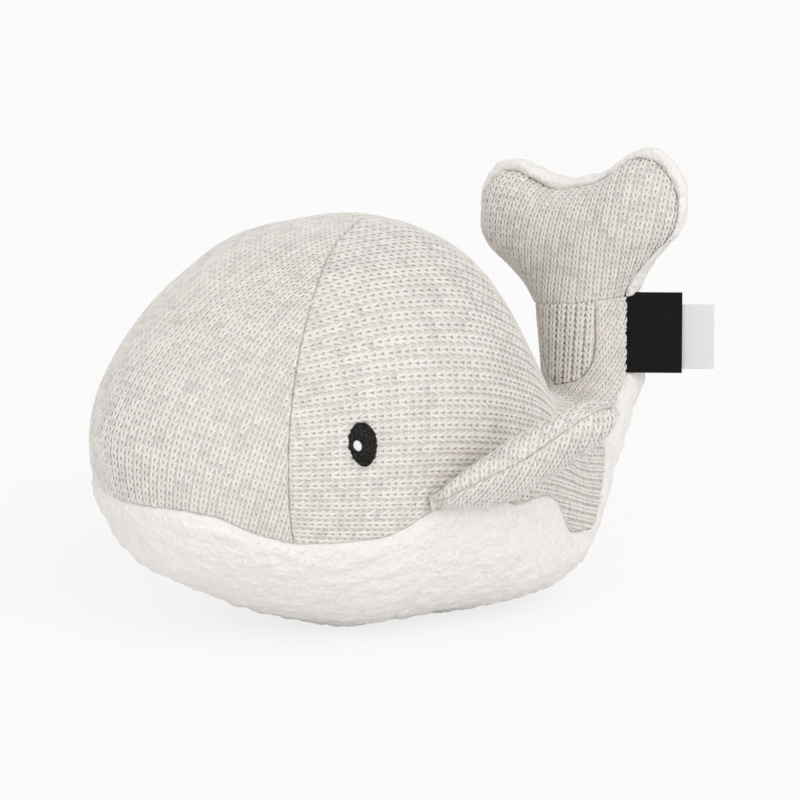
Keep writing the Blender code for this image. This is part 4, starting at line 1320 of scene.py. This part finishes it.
def foldedTape(name, height, length, thickness, gap, back, lift, bow, material):
    # A strip folded double at its far edge, with its two ends sewn in.
    s = labelSize
    middle, axis, reach, front = labelFrame()
    root = middle + reach * gap - front * back + axis * lift
    wall = thickness * s["wallShare"]
    steps, turnSteps = s["steps"], s["turnSteps"]
    profile = []
    for step in range(steps + 1):
        share = step / steps
        profile.append((mix(-s["tuck"], length - thickness / 2, share), -thickness / 2))
    for step in range(1, turnSteps):
        angle = math.pi * (step / turnSteps - 0.5)
        profile.append((length - thickness / 2 * (1 - math.cos(angle)),
                        thickness / 2 * math.sin(angle)))
    for step in range(steps + 1):
        share = 1 - step / steps
        profile.append((mix(-s["tuck"], length - thickness / 2, share), thickness / 2))
    profile = np.array(profile)
    ahead = np.gradient(profile, axis=0)
    side = np.stack([-ahead[:, 1], ahead[:, 0]], 1)
    side = side / np.maximum(np.linalg.norm(side, axis=1, keepdims=True), 1e-12)
    inner = profile + side * wall
    rows = s["rows"]
    points = []
    for layer in (profile, inner):
        for row in range(rows):
            level = (row / (rows - 1) - 0.5) * height
            for out, rise in layer:
                curve = bow * (out / length) ** 2 + bow * s["waveShare"] * math.sin(
                    s["waves"] * out / length + s["slope"] * level / height)
                points.append(root + axis * level + reach * out + front * (rise + curve))
    points = np.array(points)
    faces = [list(face) for face in gridFaces(rows, len(profile))]
    shellPoints, shellFaces = closedShell(points[:rows * len(profile)],
                                          points[rows * len(profile):], faces)
    piece = newMesh(name, shellPoints, shellFaces, material)
    faceOutward(piece)
    piece.data.set_sharp_from_angle(angle=math.radians(45))
    return piece


def tapeMaterial(name, dark, light, roughness, scale, sheen, shine):
    material, tree, shader = shaderTree(name, roughness, sheen, 0.4, shine)
    _, axis, reach, _ = labelFrame()
    place = objectPlace(tree)
    level = node(tree, "ShaderNodeVectorMath", {"operation": "DOT_PRODUCT"},
                 {0: place, 1: tuple(axis)}, 1)
    out = node(tree, "ShaderNodeVectorMath", {"operation": "DOT_PRODUCT"},
               {0: place, 1: tuple(reach)}, 1)
    ribs = node(tree, "ShaderNodeMath", {"operation": "SINE"}, {0: level * scale})
    warp = node(tree, "ShaderNodeMath", {"operation": "SINE"}, {0: out * scale * 1.4})
    weave = ribs * 0.5 + ribs * warp * 0.5
    fleck = noiseAt(tree, place, 900.0, 2.0, 0.6)
    share = weave * 0.3 + 0.35 + fleck * 0.3
    drive(tree, shader, "Base Color", blendColours(tree, share, dark, light))
    drive(tree, shader, "Normal", bumped(tree, weave, 0.5, 0.0002))
    return material


blackTape = tapeMaterial("blackTape", (0.004, 0.004, 0.004), (0.013, 0.012, 0.012), 0.8,
                         9000.0, 0.0, 0.12)
whiteSatin = tapeMaterial("whiteSatin", (0.69, 0.685, 0.675), (0.79, 0.785, 0.775), 0.35,
                          15000.0, 0.2, 0.4)
s = labelSize
woven = foldedTape("wovenTape", s["wovenHeight"], s["wovenReach"], s["wovenThickness"],
                   s["wovenGap"], 0.0, s["wovenLift"], s["wovenBow"], blackTape)
care = foldedTape("careTape", s["careHeight"], s["careReach"], s["careThickness"],
                  s["careGap"], s["spacing"], 0.0, s["careBow"], whiteSatin)
for piece, cadNode, slot in ((woven, "woven_label", "black_tape"),
                             (care, "care_label", "white_satin")):
    # A point just past the sewn end, where the tape would bend, is worked out but not used.
    middle, _, reach, _ = labelFrame()
    tuple(middle + reach * s["bend"])
    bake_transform(piece)
    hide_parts(cadNode)
print("labels made")


# Fibre fillings, which the cloth hides
def makeFilling(name, cadNode, inset):
    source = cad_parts[cadNode].data
    piece = bpy.data.objects.new(name, source.copy())
    bpy.context.scene.collection.objects.link(piece)
    piece.data.materials.clear()
    piece.data.materials.append(fibreFill)
    tidy = bmesh.new()
    tidy.from_mesh(piece.data)
    bmesh.ops.remove_doubles(tidy, verts=tidy.verts, dist=1e-6)
    bmesh.ops.recalc_face_normals(tidy, faces=tidy.faces)
    tidy.normal_update()
    for vertex, shift in [(vertex, vertex.normal * -inset) for vertex in tidy.verts]:
        vertex.co += shift
    tidy.to_mesh(piece.data)
    tidy.free()
    piece.data.shade_smooth()
    piece.data.name = name
    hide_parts(cadNode)
    return piece


bodyFibre = makeFilling("bodyFibre", "body_filling", 0.0040)
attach(bodyFibre, "body")
flukeFibre = makeFilling("flukeFibre", "fluke_filling", 0.0025)
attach(flukeFibre, "fluke")
for word, hand in (("left", 1), ("right", -1)):
    fibre = makeFilling(word + "FinFibre", word + "_fin_filling", 0.0016)
    flip = np.array([hand, 1, 1])
    pivot = Vector((finRoot + finAlong * finSize["pivot"] * finSize["length"]) * flip)
    turning = Matrix.Rotation(math.radians(finSize["raised"]) * hand, 4,
                              Vector(finFacing * flip))
    fibre.data.transform(Matrix.Translation(pivot) @ turning @ Matrix.Translation(-pivot))
    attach(fibre, word + "_fin")
print("fillings made")


# Camera, light and floor
photo = {
    "azimuth": 55.0, "elevation": 14.0, "distance": 1.2, "pivot": (0.0, 0.01, 0.07),
    "scale": 2440.0, "pivotX": 375.0, "pivotY": 434.5, "width": 800.0, "sensor": 36.0,
}


def makeCamera():
    p = photo
    azimuth, elevation = math.radians(p["azimuth"]), math.radians(p["elevation"])
    back = Vector((math.cos(elevation) * math.sin(azimuth),
                   -math.cos(elevation) * math.cos(azimuth), math.sin(elevation)))
    data = bpy.data.cameras.new("photoCamera")
    data.sensor_width = p["sensor"]
    data.lens = p["scale"] * p["distance"] * p["sensor"] / p["width"]
    data.shift_x = (p["width"] / 2 - p["pivotX"]) / p["width"]
    data.shift_y = (p["pivotY"] - p["width"] / 2) / p["width"]
    camera = bpy.data.objects.new("photoCamera", data)
    camera.location = Vector(p["pivot"]) + back * p["distance"]
    camera.rotation_euler = back.to_track_quat("Z", "Y").to_euler()
    bpy.context.scene.collection.objects.link(camera)
    bpy.context.scene.camera = camera
    return camera


lightSet = {
    "world": 0.75, "key": 1.08, "keyWay": (0.85, -0.05, 0.60), "keyAngle": 50.0,
    "fill": 0.66, "fillWay": (0.38, -0.92, 0.10), "fillAngle": 40.0,
    "floor": (0.94, 0.94, 0.94), "floorWhite": 0.80, "floorGlow": 0.974, "white": 0.956,
}


def makeLight(name, way, power, angle):
    # A broad, far lamp, so that the light is even over the floor.
    data = bpy.data.lights.new(name, "SUN")
    data.energy = power
    data.angle = math.radians(angle)
    lamp = bpy.data.objects.new(name, data)
    lamp.location = Vector(way) * 2
    lamp.rotation_euler = Vector(way).to_track_quat("Z", "Y").to_euler()
    bpy.context.scene.collection.objects.link(lamp)


def makeFloor():
    points = [(-6, -6, 0), (6, -6, 0), (6, 6, 0), (-6, 6, 0)]
    floor = newMesh("studioFloor", points, [[0, 1, 2, 3]])
    material = bpy.data.materials.new("paleFloor")
    material.use_nodes = True
    tree = material.node_tree
    shader = tree.nodes["Principled BSDF"]
    shader.inputs["Base Color"].default_value = (*lightSet["floor"], 1.0)
    shader.inputs["Roughness"].default_value = 1.0
    shader.inputs["Specular IOR Level"].default_value = 0.0
    path = tree.nodes.new("ShaderNodeLightPath")
    seen = (Wire(tree, path.outputs["Is Camera Ray"]) + Wire(tree, path.outputs["Is Glossy Ray"])
            + Wire(tree, path.outputs["Is Transmission Ray"]))
    glow = node(tree, "ShaderNodeEmission", None,
                {"Color": (1, 1, 1, 1), "Strength": lightSet["floorGlow"]})
    total = node(tree, "ShaderNodeMixShader", None, {
        0: seen * lightSet["floorWhite"], 1: Wire(tree, shader.outputs[0]), 2: glow})
    tree.links.new(total.socket, tree.nodes["Material Output"].inputs["Surface"])
    floor.data.materials.append(material)
    return floor


def makeWorld():
    world = bpy.data.worlds.new("studio")
    bpy.context.scene.world = world
    world.use_nodes = True
    tree = world.node_tree
    background = tree.nodes["Background"]
    background.inputs["Color"].default_value = (1.0, 1.0, 1.0, 1.0)
    path = tree.nodes.new("ShaderNodeLightPath")
    seen = Wire(tree, path.outputs["Is Camera Ray"])
    strength = seen * (lightSet["white"] - lightSet["world"]) + lightSet["world"]
    tree.links.new(strength.socket, background.inputs["Strength"])


makeCamera()
makeFloor()
makeWorld()
makeLight("keyLight", lightSet["keyWay"], lightSet["key"], lightSet["keyAngle"])
makeLight("fillLight", lightSet["fillWay"], lightSet["fill"], lightSet["fillAngle"])
bpy.context.scene.view_settings.view_transform = "Standard"
print("camera and light placed")
